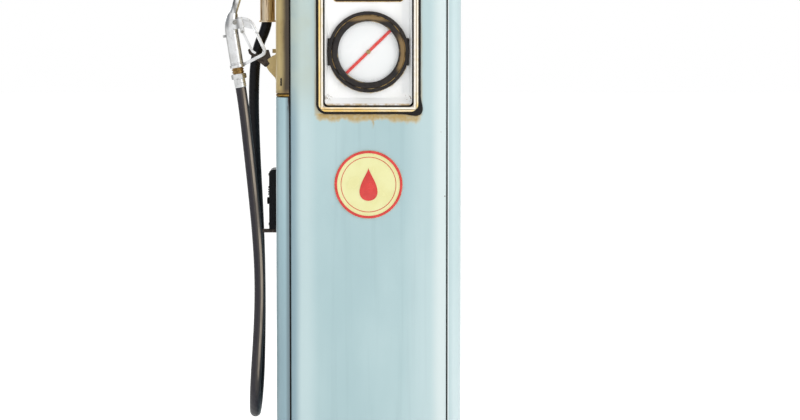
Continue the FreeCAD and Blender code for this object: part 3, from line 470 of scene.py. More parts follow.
def both_sides(name, mesh, finish, instead=None):
    """A piece on the front and the rear, which may stand in for a CAD node such as front_panel."""
    for side in ("front", "rear"):
        made = own(f"{side}_{name}", turned_to(side, mesh), finish)
        if instead:
            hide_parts(f"{side}_{instead}")

# %% [markdown]
# Meshes are changed as bmeshes: a merged copy is taken, cut where it has to bend, and made
# into a mesh again.

# %% Cutting and merging
MERGE = 1e-6  # points closer than this are one


def merged_copy(mesh):
    bm = bmesh.new()
    bm.from_mesh(mesh)
    bmesh.ops.remove_doubles(bm, verts=bm.verts, dist=MERGE)
    return bm


def cut(bm, place, facing):
    """Cuts all faces along a plane, so that they can bend there."""
    everything = bm.verts[:] + bm.edges[:] + bm.faces[:]
    bmesh.ops.bisect_plane(bm, geom=everything, plane_co=place, plane_no=facing)


def mesh_from(bm, name):
    mesh = bpy.data.meshes.new(name)
    bm.to_mesh(mesh)
    bm.free()
    return mesh

# %% [markdown]
# ## Pressed panels
#
# The real front sheet isn't flat to its edge: over the last two centimetres it curls back to
# meet the seam, and that curl is what catches light on one side and shade on the other.
# A bump map could fake it, but the outline would stay sharp. Here a copy of the CAD panel is
# cut into narrow strips near its upright edges, and bent back by a smooth curve.

# %% Curled panels
CURL_WIDTH = 0.022
CURL_DEPTH = 0.0042
CURL_STRIPS = 9
CURL_POWER = 2.2
FRONT_SKIN = 0.006  # only points this near the front bend


def curled_panel(source):
    bm = merged_copy(nodes[source].data)
    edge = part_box(source)[1].x
    for strip in range(CURL_STRIPS):
        at = edge - CURL_WIDTH * (1 - strip / CURL_STRIPS)
        for sign in (-1, 1):
            cut(bm, (sign * at, 0, 0), (1, 0, 0))
    for vert in bm.verts:
        into = (abs(vert.co.x) - edge + CURL_WIDTH) / CURL_WIDTH
        if into > 0 and vert.co.y < FRONT_Y + FRONT_SKIN:
            vert.co.y += CURL_DEPTH * into ** CURL_POWER
    bmesh.ops.dissolve_degenerate(bm, edges=bm.edges[:], dist=MERGE)
    return mesh_from(bm, "curled_panel")


panel_mesh = curled_panel("front_panel")
both_sides("curled_panel", panel_mesh, panel_enamel, instead="panel")
print("curled panel", len(panel_mesh.polygons), "faces")

# %% [markdown]
# ## Tan casing, brass and iron
#
# The upper left casing was painted a brassy tan that has worn brown where hands, rain and the nozzle
# touch it. Next to the seam it is painted dark brown: partly a veil of grime, partly painted shade where
# the rounded corner turns away from the light. The hose comes out of a turned brass sleeve with dark
# vertical tarnish. The lever and the hose arm are oiled iron.

# %% Tan casing paint
def tan_paint(name, seam_shade_and_grime):
    f = Finish(name, "#c6b27d", Roughness=0.42, IOR=1.5)
    f.paint(f.patches(0.09, 0.3, 0.7, tall=1.5, detail=5.0), "#bba36c")
    rain = f.patches(0.01, 0.5, 0.78, tall=30.0, shift=1.0)
    f.paint(rain * 0.28, "#967b49")
    rubbed = f.patches(0.035, 0.55, 0.75, shift=9.0, detail=5.0)
    f.paint(rubbed * 0.35, "#a0824c")
    if seam_shade_and_grime:
        # Dark brown towards the seam: grime and painted shade of the turning corner.
        ragged = f.noise(0.02, tall=4.0) * 0.009
        near = rise(f.x + ragged, -0.235, -0.2165)
        f.paint(near * 0.96, "#2b1f15")
        foot = rise(f.z + ragged, 1.124, 1.112)
        f.paint(foot * 0.45, "#7d6238")
    worn = f.patches(0.008, 0.67, 0.77, detail=5.0, shift=4.0)
    f.paint(worn * 0.8, "#4f3d2a")
    f.roughness(worn, 0.38, 0.7)
    f.relief(1.0 - worn, 0.0003)
    return f


casing_paint = tan_paint("tan_casing_paint", seam_shade_and_grime=True)
casting_paint = tan_paint("tan_casting_paint", seam_shade_and_grime=False)
dress(casing_paint, "left_upper_side_panel")
dress(casting_paint, "hose_outlet_casting", "nozzle_boot", "lever_bracket")

# %% [markdown]
# Bare metals share one recipe: two tones, dark tarnish in patches, and a fine grain.

# %% Brass, aluminium and iron
def metal(name, tones, size, smooth, rough, tall=1.0, grain=0.00008):
    """A bare metal in three tones: bright, dull and tarnished."""
    bright, dull, tarnish = tones
    f = Finish(name, bright, Metallic=1.0)
    f.paint(f.patches(size, 0.35, 0.65, tall=tall, detail=4.0), dull)
    dark = f.patches(size * 0.6, 0.56, 0.72, tall=tall, shift=6.0, detail=5.0)
    f.paint(dark * 0.8, tarnish)
    f.roughness(dark, smooth, rough)
    f.relief(f.noise(0.0012, detail=2.0), grain)
    return f


sleeve_brass = metal("tarnished_brass", ("#e0cfb4", "#b99a6e", "#6f4a2c"), 0.012, 0.3, 0.6, tall=12.0)
fitting_brass = metal("handled_brass", ("#c2a25e", "#94703c", "#56402f"), 0.006, 0.25, 0.55)
swivel_brass = metal("swivel_brass", ("#9a7c4c", "#6e532f", "#35261a"), 0.005, 0.3, 0.6)
trim_brass = metal("trim_brass", ("#c9a254", "#8f6f3a", "#3a2a1c"), 0.02, 0.3, 0.6)
cast_aluminium = metal("polished_cast_aluminium", ("#e2e3e4", "#d2d2d2", "#a9a8a6"),
                       0.02, 0.3, 0.46, grain=0.0001)
steel = metal("zinc_plated_steel", ("#a9a8a4", "#85827b", "#5a4a3a"), 0.004, 0.35, 0.6)
dark_iron = metal("oiled_iron", ("#4a4039", "#332b26", "#241a14"), 0.01, 0.45, 0.7, grain=0.0004)
dark_iron.set(Metallic=0.6)
dress(sleeve_brass, "hose_outlet_sleeve")
dress(fitting_brass, "front_pointer_hub", "rear_pointer_hub")
dress(swivel_brass, "swivel_rings")
dress(trim_brass, "left_trim_strip")
# Painted shade lies along the flanks of the nozzle's barrel, to either side of its leaning axis, where
# the round barrel turns away from the light.
HOSE_END = HOSE_POINTS[-1]
NOZZLE_LEAN = math.radians(9.0)
f = cast_aluminium
beside = (f.x - HOSE_END[0]) * math.cos(NOZZLE_LEAN)
along = (f.z - HOSE_END[2]) * math.sin(NOZZLE_LEAN)
beside = abs(beside + along)
flank_shade = rise(beside, 0.0115, 0.0185) * rise(beside, 0.028, 0.02)
f.paint(flank_shade * 0.75, "#6f6e6d")
dress(cast_aluminium, "hose_ferrule", "hose_nut", "nozzle_body", "nozzle_valve_cap",
      "nozzle_spout", "trigger_guard", "trigger")
dress(dark_iron, "switch_lever", "hose_arm")

# %% [markdown]
# ## Plain coats
#
# The rest are ordinary coats of paint, rubber and glass. None is one flat colour: black enamel
# picks up dust, white enamel yellows, and steel under primer shows brush marks.

# %% Paint, rubber and glass
def coat(name, base, other, size, smooth, rough, depth=0.00005, **sockets):
    """A plain coat in two tones; depth is the height of its grain in metres."""
    f = Finish(name, base, IOR=1.5, **sockets)
    mottle = f.patches(size, 0.3, 0.7, detail=5.0)
    f.paint(mottle, other)
    f.roughness(mottle, smooth, rough)
    f.relief(f.noise(size * 0.1), depth)
    return f


black_enamel = coat("satin_black_enamel", "#08090e", "#131216", 0.03, 0.3, 0.5, Specular_IOR_Level=0.15)
wheel_enamel = coat("wheel_enamel", "#14110f", "#241c17", 0.02, 0.35, 0.55)
dark_steel = coat("dark_primed_steel", "#2a2321", "#191414", 0.02, 0.6, 0.8)
plinth_paint = coat("plinth_paint", "#4b5c62", "#5d6f74", 0.05, 0.45, 0.65)
red_enamel = coat("gloss_red_enamel", "#dd2a23", "#e63a32", 0.02, 0.35, 0.5, Specular_IOR_Level=0.3)
dial_enamel = coat("dial_enamel", "#ffffff", "#fafbfb", 0.05, 0.25, 0.4)
digit_paint = coat("digit_paint", "#ece6d2", "#d8d0b8", 0.004, 0.4, 0.6)
rubber = coat("aged_rubber", "#0f0d0d", "#1c1918", 0.008, 0.45, 0.7,
              depth=0.0002, Specular_IOR_Level=0.25)
# Glass is thin here and seen through, so most light passes and only the gloss stays.
glass = Finish("thin_clear_glass", "#b4bebe", Roughness=0.03, IOR=1.5, Alpha=0.05)
glass.paint(glass.patches(0.05, 0.4, 0.7), "#a2acac")
dress(black_enamel, "switch_box", "switch_knob")
dress(wheel_enamel, "front_register_wheels", "rear_register_wheels")
dress(dark_steel, "inner_frame")
dress(plinth_paint, "plinth_skirt", "base_plate")
dress(red_enamel, "front_pointer", "rear_pointer")
dress(dial_enamel, "front_dial", "rear_dial")
dress(glass, "front_sight_glass", "rear_sight_glass", "front_register_glass", "rear_register_glass")

# %% [markdown]
# ## Frames that follow a rounded rectangle
#
# The gasket, the bezel, the rim of the register and the dial's ring are all one profile carried
# round a path: a rounded rectangle, or a circle, which is a square with its corners rounded
# all the way. Extruding and bevelling each by hand would take long and be hard to change.
# A small Geometry Nodes tree sweeps any profile round any such path instead.
# A profile is a closed line of (outwards, proud) points in millimetres.

# %% The sweeping tree
def new_tree(name, inputs):
    """An empty Geometry Nodes tree with named inputs, its input sockets and its output node."""
    tree = bpy.data.node_groups.new(name, "GeometryNodeTree")
    for label, kind in inputs:
        tree.interface.new_socket(label, in_out="INPUT", socket_type=f"NodeSocket{kind}")
    tree.interface.new_socket("Geometry", in_out="OUTPUT", socket_type="NodeSocketGeometry")
    return tree, add(tree, "NodeGroupInput").outputs, add(tree, "NodeGroupOutput")


def close_tree(tree, out, made, finish):
    """Makes copies real, gives them their finish and hands them to the output."""
    real = add(tree, "GeometryNodeRealizeInstances", {0: made})
    coated = add(tree, "GeometryNodeSetMaterial", {"Geometry": real.outputs[0], "Material": finish})
    tree.links.new(coated.outputs[0], out.inputs[0])
    return tree


def sweep_tree():
    tree, given, out = new_tree("swept_frame", [
        ("Width", "Float"), ("Height", "Float"), ("Corner Radius", "Float"),
        ("Profile", "Object"), ("Finish", "Material")])
    path = add(tree, "GeometryNodeCurvePrimitiveQuadrilateral", {
        "Width": given["Width"], "Height": given["Height"]})
    rounded = add(tree, "GeometryNodeFilletCurve", {
        "Curve": path.outputs[0], "Count": CORNER_STEPS, "Radius": given["Corner Radius"],
        "Limit Radius": True}, mode="POLY")
    upright = add(tree, "GeometryNodeSetCurveNormal", {"Curve": rounded.outputs[0]}, mode="Z_UP")
    profile = add(tree, "GeometryNodeObjectInfo", {"Object": given["Profile"]})
    swept = add(tree, "GeometryNodeCurveToMesh", {
        "Curve": upright.outputs[0], "Profile Curve": profile.outputs["Geometry"]})
    return close_tree(tree, out, swept.outputs[0], given["Finish"])


CORNER_STEPS = 16
SWEEP = sweep_tree()

# %% [markdown]
# The tree runs as a modifier on an empty mesh, and its result is kept as a plain mesh that
# is merged and turned outwards. So the finished pieces carry no modifier.

# %% Running a tree
def made_by(tree, carrier, values):
    """Runs a tree on an object and returns the result as a plain mesh."""
    modifier = carrier.modifiers.new("nodes", "NODES")
    modifier.node_group = tree
    for item in tree.interface.items_tree:
        if item.in_out == "INPUT" and item.name in values:
            modifier[item.identifier] = values[item.name]
    bpy.context.view_layer.update()
    evaluated = carrier.evaluated_get(bpy.context.evaluated_depsgraph_get())
    mesh = bpy.data.meshes.new_from_object(evaluated)
    carrier.modifiers.remove(modifier)
    return mesh


def tidy(mesh, place=None):
    """Merges a mesh's doubles, turns its faces outwards and puts it in its place."""
    bm = merged_copy(mesh)
    bmesh.ops.recalc_face_normals(bm, faces=bm.faces)
    bm.to_mesh(mesh)
    bm.free()
    if place is not None:
        mesh.transform(place)
    return mesh

# %% [markdown]
# A frame lies flat after the sweep, and is stood up to face the front.

# %% Swept frames
def closed_profile(name, points):
    """A closed line from (outwards, proud) points in millimetres."""
    curve = bpy.data.curves.new(name, "CURVE")
    spline = curve.splines.new("POLY")
    spline.points.add(len(points) - 1)
    for point, (out, proud) in zip(spline.points, points):
        point.co = (out * MM, -proud * MM, 0.0, 1.0)
    spline.use_cyclic_u = True
    return linked(name, curve)


def swept_frame(name, size, radius, profile, y, z, finish):
    """A frame that faces -Y, whose profile's foot stands at y and whose middle is at height z."""
    line = closed_profile(name + "_profile", profile)
    carrier = linked(name, bpy.data.meshes.new(name))
    mesh = made_by(SWEEP, carrier, {
        "Width": size[0], "Height": size[1], "Corner Radius": radius,
        "Profile": line, "Finish": finish.material})
    for made in (line, carrier):
        bpy.data.objects.remove(made)
    stand = Matrix.Translation((0, y, z)) @ Matrix.Rotation(math.pi / 2, 4, "X")
    print(name, len(mesh.polygons), "faces")
    return tidy(mesh, stand)


def swept_circle(name, radius, profile, y, z, finish):
    """The same round a circle: a square with its corners rounded nearly all the way."""
    return swept_frame(name, (2 * radius, 2 * radius), radius - 1e-5, profile, y, z, finish)


def arc(centre, radius, start, end, steps=6):
    """Points on an arc in a profile, in millimetres, from one angle in degrees to another."""
    angles = [math.radians(start + (end - start) * i / steps) for i in range(steps + 1)]
    return [(centre[0] + radius * math.cos(a), centre[1] + radius * math.sin(a)) for a in angles]

# %% [markdown]
# ## Gasket
#
# A soft rubber strip is squeezed between bezel and panel, so it bulges round and stands a
# little proud, and at one lower corner it has slipped down. After the sweep, a few points near
# that corner are pushed out and down by a smooth bump, which no profile alone could do.

# %% Gasket
FACE_SIZE = (2 * FACE_HALF[0], 2 * FACE_HALF[1])
GASKET_BAR = 15.0
GASKET_CORNER = 0.028
SLIP_REACH = 0.052
SLIP = Vector((0.010, -0.001, -0.009))
SLIP_CUTS = (0.031, 0.036, 0.042, 0.05)  # distances from the corner

gasket_profile = arc((-2.2, 2.1), 2.1, -90, 90, 8)
gasket_profile += [(-5.5, 4.0), (-GASKET_BAR, 4.0), (-GASKET_BAR, 0.0)]
gasket_mesh = swept_frame(
    "gasket", FACE_SIZE, GASKET_CORNER, gasket_profile, FRONT_Y, FACE_MIDDLE_Z, rubber)
corner = Vector((FACE_HALF[0], FRONT_Y, FACE_LOW.z))
bm = merged_copy(gasket_mesh)
for away in SLIP_CUTS:
    cut(bm, (corner.x - away, 0, 0), (1, 0, 0))
    cut(bm, (0, 0, corner.z + away), (0, 0, 1))
for vert in bm.verts:
    past_x = abs(vert.co.x) - FACE_HALF[0] + GASKET_CORNER
    past_z = abs(vert.co.z - FACE_MIDDLE_Z) - FACE_HALF[1] + GASKET_CORNER
    past = math.hypot(max(past_x, 0.0), max(past_z, 0.0)) + min(max(past_x, past_z), 0.0)
    depth = GASKET_CORNER - past
    near = max(0.0, 1.0 - Vector((vert.co.x - corner.x, vert.co.z - corner.z)).length / SLIP_REACH)
    outer = min(1.0, max(0.0, 1.0 - (depth - 0.002) / 0.010))
    vert.co += SLIP * near * near * (3 - 2 * near) * outer
both_sides("rubber_gasket", mesh_from(bm, "gasket"), rubber, instead="gasket")

# %% [markdown]
# ## Bezel
#
# The bezel is a pressed strip with two rounded ridges and a groove between them. Its cream
# enamel has gone golden on the outer ridge and brown in the groove and at the edges, so the
# finish is ruled by the distance from the strip's outer edge, with noise to break it up.

# %% Bezel
bezel_low, bezel_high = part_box("front_bezel")
BEZEL_SIZE = (2 * bezel_high.x, bezel_high.z - bezel_low.z)
bezel_enamel = f = Finish("yellowed_cream_enamel", "#fffaf0",
                          Roughness=0.3, IOR=1.5, Coat_Weight=0.3, Coat_Roughness=0.2)
side_in = BEZEL_SIZE[0] / 2 - abs(f.x)
level = abs(f.z - FACE_MIDDLE_Z)
depth_in = calc("MINIMUM", side_in, BEZEL_SIZE[1] / 2 - level)
golden = rise(depth_in, 0.0068, 0.005)
# The left and the bottom were in the sun more, and went more golden.
sunny = calc("MAXIMUM", rise(f.x, 0.09, -0.11), rise(f.z, 1.09, 1.07) * 0.9)
amber = f.patches(0.03, 0.28, 0.66, tall=2.0)
f.paint(golden * (sunny * 0.75 + 0.22) * (amber * 0.5 + 0.5), "#f2cf72")
foot = rise(f.z, 1.0715, 1.066) * rise(f.x, 0.08, -0.06)
f.paint(foot * (amber * 0.4 + 0.35), "#efc768")
f.paint(f.patches(0.02, 0.5, 0.75, shift=3.0) * 0.5, "#f0dfa6")
groove = rise(abs(depth_in - 0.0067), 0.0014, 0.0006)
f.paint(groove * 0.85, "#86693c")
ragged = f.noise(0.01, detail=5.0) * 0.0016
rim_soil = rise(depth_in - ragged, 0.0011, 0.0)
inner_soil = rise(depth_in + ragged, 0.0128, 0.0136)
soil = calc("MAXIMUM", rim_soil, inner_soil * 0.7)
f.paint(soil * 0.9, "#5c431f")
chips, edge = chip_mask(f, 0.035, 0.0014, 0.7)
f.paint(chips, "#6b4e28")
f.roughness(calc("MAXIMUM", chips, soil), 0.26, 0.7)
f.relief(1.0 - chips, 0.0003)

bezel_profile = (
    [(0.0, 0.0)] + arc((-2.6, 4.6), 2.6, 0, 90) + arc((-2.9, 5.2), 2.8, 80, 125)
    + [(-5.6, 5.6), (-6.75, 4.7), (-7.9, 5.6)] + arc((-10.6, 5.2), 2.8, 55, 100)
    + arc((-10.9, 4.6), 2.6, 90, 180) + [(-13.5, 0.0)]
)
BEZEL_CORNER = 0.024
bezel_mesh = swept_frame(
    "bezel", BEZEL_SIZE, BEZEL_CORNER, bezel_profile, bezel_high.y, FACE_MIDDLE_Z, bezel_enamel)
both_sides("ridged_bezel", bezel_mesh, bezel_enamel, instead="bezel")

# %% [markdown]
# ## Face plate
#
# The white plate is enamelled steel, folded at its corners. Brown soil sits where it can't be
# wiped: in the folded corners, round the ring and under the register's rim. The folds' seams
# are real beads of solder here, and two rounded stamps stand out beside the ring.

# %% Face plate enamel
ring_low, ring_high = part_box("front_sight_ring")
RING_MIDDLE = (ring_low + ring_high) / 2
RING_RADIUS = ring_high.x
PLATE_LOW, PLATE_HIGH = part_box("front_face_plate")
FOLD_X, FOLD_Z = 0.109, 1.0935  # where the plate's lower folds meet its flat


def distance(first, second):
    return calc("SQRT", first * first + second * second)


plate_enamel = f = Finish("soiled_white_enamel", "#ffffff",
                          Roughness=0.3, IOR=1.5, Coat_Weight=0.2, Coat_Roughness=0.2)
f.paint(f.patches(0.06, 0.35, 0.7), "#fafaf8")
# A painted shadow of the bezel's right side wall on the plate.
shade = rise(f.x, 0.087, 0.093) * rise(f.z, 1.096, 1.112)
f.paint(shade * 0.5, "#eceef0")
from_ring = f.z - RING_MIDDLE.z
radial = distance(f.x, from_ring)
ragged = f.noise(0.012, detail=5.0) * 0.009
near_ring = rise(radial + ragged, RING_RADIUS + 0.0075, RING_RADIUS + 0.003)
low_half = rise(from_ring, 0.03, -0.05) * 0.85 + 0.12
f.paint(near_ring * low_half, "#d9b766")
far = distance(abs(f.x) - FOLD_X, f.z - FOLD_Z)
spots = rise(far, 0.014, 0.003) * f.patches(0.007, 0.52, 0.6)
f.paint(spots * 0.9, "#7a5c34")
foot = rise(f.z, 1.0805, 1.0755) * f.patches(0.02, 0.35, 0.6, detail=5.0)
f.paint(foot * 0.8, "#c79f4c")
f.roughness(spots, 0.28, 0.7)
f.relief(f.noise(0.005, detail=1.0), 0.00008)
dress(plate_enamel, "front_face_plate", "rear_face_plate")

# %% [markdown]
# The folds' seams are short closed tubes along three points, and a stamp is a small swept
# rounded rectangle.

# %% Solder beads and stamps on the plate
def joined(meshes, name):
    bm = bmesh.new()
    for mesh in meshes:
        bm.from_mesh(mesh)
    return mesh_from(bm, name)


def tube(points, radius, sides=8):
    """A closed bead along a few points, with its ends narrowed."""
    bm = bmesh.new()
    rings = []
    for i, point in enumerate(points):
        ahead = Vector(points[min(i + 1, len(points) - 1)]) - Vector(points[max(i - 1, 0)])
        turn = ahead.to_track_quat("Z", "Y").to_matrix()
        thin = 0.45 if i in (0, len(points) - 1) else 1.0
        ring = []
        for k in range(sides):
            a = 2 * math.pi * k / sides
            out = Vector((math.cos(a), math.sin(a), 0)) * radius * thin
            ring.append(bm.verts.new(Vector(point) + turn @ out))
        rings.append(ring)
    for first, second in zip(rings, rings[1:]):
        for k in range(sides):
            bm.faces.new((first[k], first[(k + 1) % sides], second[(k + 1) % sides], second[k]))
    bm.faces.new(rings[0][::-1])
    bm.faces.new(rings[-1])
    return tidy(mesh_from(bm, "tube"))

# %% [markdown]
# Both kinds are made once for the front and turned round for the rear.

# %% Beads and stamps in place
solder = coat("soiled_solder", "#7d6236", "#4a3a28", 0.006, 0.5, 0.8)
beads = []
for sign in (-1, 1):
    rim = (sign * (PLATE_HIGH.x - 0.0035), PLATE_LOW.y + 0.004, PLATE_LOW.z + 0.0055)
    flat = (sign * 0.1095, PLATE_HIGH.y - 0.004, 1.0925)
    middle = [sum(pair) / 2 for pair in zip(rim, flat)]
    beads.append(tube([rim, middle, flat], 0.0011 if sign < 0 else 0.0017))
both_sides("solder_beads", joined(beads, "solder_beads"), solder)

PLATE_FLAT_Y = PLATE_HIGH.y - 0.003
STAMPS = [(-0.088, 0.016), (0.0865, 0.019)]  # middle and width of each
STAMP_HEIGHT, STAMP_CORNER, STAMP_Z = 0.024, 0.004, 1.116
stamp_profile = arc((-0.9, 0.0), 0.9, 0, 180) + [(-1.8, -0.4), (0.0, -0.4)]
stamps = []
for x, width in STAMPS:
    size = (width, STAMP_HEIGHT)
    stamp = swept_frame("stamp", size, STAMP_CORNER, stamp_profile, PLATE_FLAT_Y, STAMP_Z, plate_enamel)
    stamp.transform(Matrix.Translation((x, 0, 0)))
    stamps.append(stamp)
both_sides("plate_stamps", joined(stamps, "stamps"), plate_enamel)

# %% [markdown]
# ## Dial ring
#
# The ring is a casting, blackened and then handled for decades: bronze shows through on its shoulder,
# painted widest at the top and on the right, where it is partly wear and partly painted highlight. A
# thin pale line on its step and pale patches on its inner lip are painted highlights. The CAD ring has
# the right sizes but square steps, so a rounded profile is swept round the same circle, with two lugs at
# the sides.

# %% Dial ring
blackened = f = Finish("blackened_bronze", "#191516", Roughness=0.45, Metallic=0.35)
from_ring = f.z - RING_MIDDLE.z
radial = distance(f.x, from_ring)
f.paint(f.patches(0.012, 0.35, 0.7, detail=5.0), "#2b2420")
rough_radius = radial + f.noise(0.008, detail=5.0) * 0.006
shoulder = rise(rough_radius, 0.087, 0.0925) * rise(rough_radius, 0.1035, 0.1015)
top = rise(from_ring, 0.078, 0.09)
side = rise(f.x, 0.07, 0.084) * rise(from_ring, 0.06, 0.02) * rise(from_ring, -0.06, -0.04)
# Bronze on the shoulder at the top and the right: partly wear, partly painted highlight.
f.paint(shoulder * calc("MAXIMUM", top, side) * 0.9, "#8a7048")
# A thin pale line on the step is a painted highlight.
step = rise(abs(radial - 0.0992), 0.0012, 0.0003)
f.paint(step * f.patches(0.02, 0.38, 0.6) * 0.9, "#d8bd84")
# Pale patches on the inner lip are a painted highlight.
lip = rise(radial, 0.0855, 0.0828)
f.paint(lip * f.patches(0.03, 0.5, 0.7, shift=2.0) * 0.7, "#b9a06a")
f.roughness(f.patches(0.01, 0.3, 0.7), 0.3, 0.55)
f.relief(f.noise(0.004, detail=4.0), 0.0004)

ring_profile = (
    [(0.0, 0.0)] + arc((-2.8, 11.0), 2.8, 0, 90) + [(-9.4, 13.7), (-10.6, 12.6)]
    + arc((-14.4, 14.4), 3.5, 0, 90) + [(-20.0, 17.2), (-25.8, 15.8), (-27.0, 15.0), (-27.4, 13.1)]
    + [(-17.6, 13.1), (-17.6, 0.0)]
)

# %% [markdown]
# The lugs are soft blocks that stand against the ring's sides.

# %% Ring, lugs and oval
def soft_block(centre, size, radius):
    """A block with rounded edges."""
    bm = bmesh.new()
    bmesh.ops.create_cube(bm, size=1.0)
    bmesh.ops.scale(bm, verts=bm.verts, vec=size)
    bmesh.ops.bevel(bm, geom=bm.edges[:], offset=radius, segments=3, profile=0.5, affect="EDGES")
    mesh = mesh_from(bm, "block")
    mesh.transform(Matrix.Translation(centre))
    return mesh


ring_parts = [swept_circle("ring", RING_RADIUS, ring_profile, PLATE_FLAT_Y, RING_MIDDLE.z, blackened)]
LUG = Vector((0.012, 0.006, 0.074))
for sign in (-1, 1):
    centre = (sign * (RING_RADIUS - LUG.x / 2), PLATE_FLAT_Y - LUG.y / 2 + 0.0005, RING_MIDDLE.z)
    ring_parts.append(soft_block(centre, LUG, 0.0018))
# A stamped oval at the foot of the ring, where a maker would put a mark; it stays plain.
oval_profile = arc((-0.8, 0.0), 0.8, 0, 180) + [(-1.6, -0.8), (0.0, -0.8)]
OVAL_SIZE, OVAL_CORNER = (0.030, 0.0115), 0.0057
oval_y, oval_z = PLATE_FLAT_Y - 0.0172, RING_MIDDLE.z - 0.0945
ring_parts.append(swept_frame("oval", OVAL_SIZE, OVAL_CORNER, oval_profile, oval_y, oval_z, blackened))
both_sides("dial_ring", joined(ring_parts, "dial_ring"), blackened, instead="sight_ring")

# %% [markdown]
# ## Register rim and digits
#
# The register's window has a thin brass bead, and inside it a bevel in the blackened finish, which is
# painted shade for the window's opening. Behind the glass are two rows of number wheels. Plain white
# digits are wrapped round them: text becomes a thin solid, and each point is then pushed onto the
# wheel's cylinder.

# %% Register rim
rim_low, rim_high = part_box("front_register_rim")
rim_size = (rim_high.x - rim_low.x, rim_high.z - rim_low.z)
rim_middle = (rim_low.z + rim_high.z) / 2
RIM_CORNER = 0.0115
bead_profile = [(0.0, 0.0)] + arc((-1.3, 2.4), 1.3, 0, 180, 8) + [(-2.6, 0.0)]
rim = (rim_size, RIM_CORNER)
bead_mesh = swept_frame("rim_bead", *rim, bead_profile, rim_high.y, rim_middle, fitting_brass)
both_sides("rim_bead", bead_mesh, fitting_brass, instead="register_rim")
# The bevel's blackened finish is painted shade for the window's opening.
bevel_profile = [(-2.3, 0.0), (-2.3, 2.4), (-3.4, 3.2), (-6.0, 2.6), (-7.0, 1.2), (-7.0, 0.0)]
bevel_mesh = swept_frame("rim_bevel", *rim, bevel_profile, rim_high.y, rim_middle, blackened)
both_sides("rim_bevel", bevel_mesh, blackened)

# %% [markdown]
# Each row shows eight digits: leading zeros and a whole number.

# %% Digits
wheels_low, wheels_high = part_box("front_register_wheels")
WHEEL_RADIUS = (wheels_high.y - wheels_low.y) / 2
WHEEL_Y = (wheels_high.y + wheels_low.y) / 2
WHEEL_COUNT = 8
WHEEL_PITCH = 0.023
DIGIT_SIZE = 0.021
DIGIT_HALF = 0.0002  # half its thickness
DIGIT_CUTS = 8
ROWS = {wheels_high.z - WHEEL_RADIUS: "00012450", wheels_low.z + WHEEL_RADIUS: "00003160"}


def wrapped_digit(digit, x, row_z):
    """A digit at x on the wheels of a row, standing a little proud and following their curve."""
    text = bpy.data.curves.new("digit", "FONT")
    text.body = digit
    text.size = DIGIT_SIZE
    text.align_x = "CENTER"
    text.align_y = "CENTER"
    text.extrude = DIGIT_HALF
    carrier = linked("digit", text)
    bpy.context.view_layer.update()
    flat = bpy.data.meshes.new_from_object(carrier.evaluated_get(bpy.context.evaluated_depsgraph_get()))
    bpy.data.objects.remove(carrier)
    bm = merged_copy(flat)
    for step in range(1 - DIGIT_CUTS // 2, DIGIT_CUTS // 2):
        cut(bm, (0, step * DIGIT_SIZE / DIGIT_CUTS, 0), (0, 1, 0))
    for vert in bm.verts:
        up = vert.co.y
        reach = WHEEL_RADIUS + 1.5 * DIGIT_HALF + vert.co.z
        vert.co = (x + vert.co.x, WHEEL_Y - math.sqrt(reach ** 2 - up * up), row_z + up)
    bmesh.ops.dissolve_degenerate(bm, edges=bm.edges[:], dist=MERGE)
    return mesh_from(bm, "digit")


digits = []
for row_z, shown in ROWS.items():
    for place, digit in enumerate(shown):
        x = (place - (WHEEL_COUNT - 1) / 2) * WHEEL_PITCH
        digits.append(wrapped_digit(digit, x, row_z))
digit_mesh = joined(digits, "digits")
both_sides("wheel_digits", digit_mesh, digit_paint)
print("digits", len(digit_mesh.polygons), "faces")

# %% [markdown]
# ## Badge
#
# A vitreous enamel badge: a cream field, a red rim and a red drop of fuel, each fired as a
# slightly raised pool with rounded edges. It stands for no company.

# %% Badge
badge_low, badge_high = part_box("round_badge")
BADGE_Z = (badge_low.z + badge_high.z) / 2
BADGE_RADIUS = badge_high.x
cream_enamel = coat("cream_vitreous_enamel", "#e6e4a8", "#e1dd9c", 0.04, 0.15, 0.3, Coat_Weight=0.5)
badge_red = coat("red_vitreous_enamel", "#c81f1a", "#d9302a", 0.03, 0.15, 0.3, Coat_Weight=0.5)
dress(cream_enamel, "round_badge")
rim_profile = [(0.3, 0.2)] + arc((-2.4, 1.6), 2.2, 20, 90)
rim_profile += arc((-5.2, 1.6), 2.2, 90, 175) + [(-7.6, 0.2)]
pools = [swept_circle("badge_rim", BADGE_RADIUS, rim_profile, badge_low.y + 0.0022, BADGE_Z, badge_red)]
LINE_RADIUS = BADGE_RADIUS - 0.017
thin_profile = arc((-0.9, 0.2), 0.9, 0, 180, 8) + [(-1.8, -0.5), (0.0, -0.5)]
FIELD_Y = badge_low.y + 0.001
pools.append(swept_circle("badge_line", LINE_RADIUS, thin_profile, FIELD_Y, BADGE_Z, badge_red))

# %% [markdown]
# The drop is an outline that is thickened and rounded at its edge.

# %% Drop
def raised_shape(outline, y, thickness, bevel):
    """A flat shape from (x, z) points, thickened towards the viewer and rounded at its edge."""
    bm = bmesh.new()
    face = bm.faces.new([bm.verts.new((x, y, z)) for x, z in outline])
    bmesh.ops.recalc_face_normals(bm, faces=[face])
    grown = bmesh.ops.extrude_face_region(bm, geom=[face])
    moved = [g for g in grown["geom"] if isinstance(g, bmesh.types.BMVert)]
    bmesh.ops.translate(bm, verts=moved, vec=(0, -thickness, 0))
    rim = [e for e in bm.edges if all(abs(v.co.y - y + thickness) < 1e-7 for v in e.verts)]
    bmesh.ops.bevel(bm, geom=rim, offset=bevel, segments=2, profile=0.5, affect="EDGES")
    return tidy(mesh_from(bm, "raised_shape"))


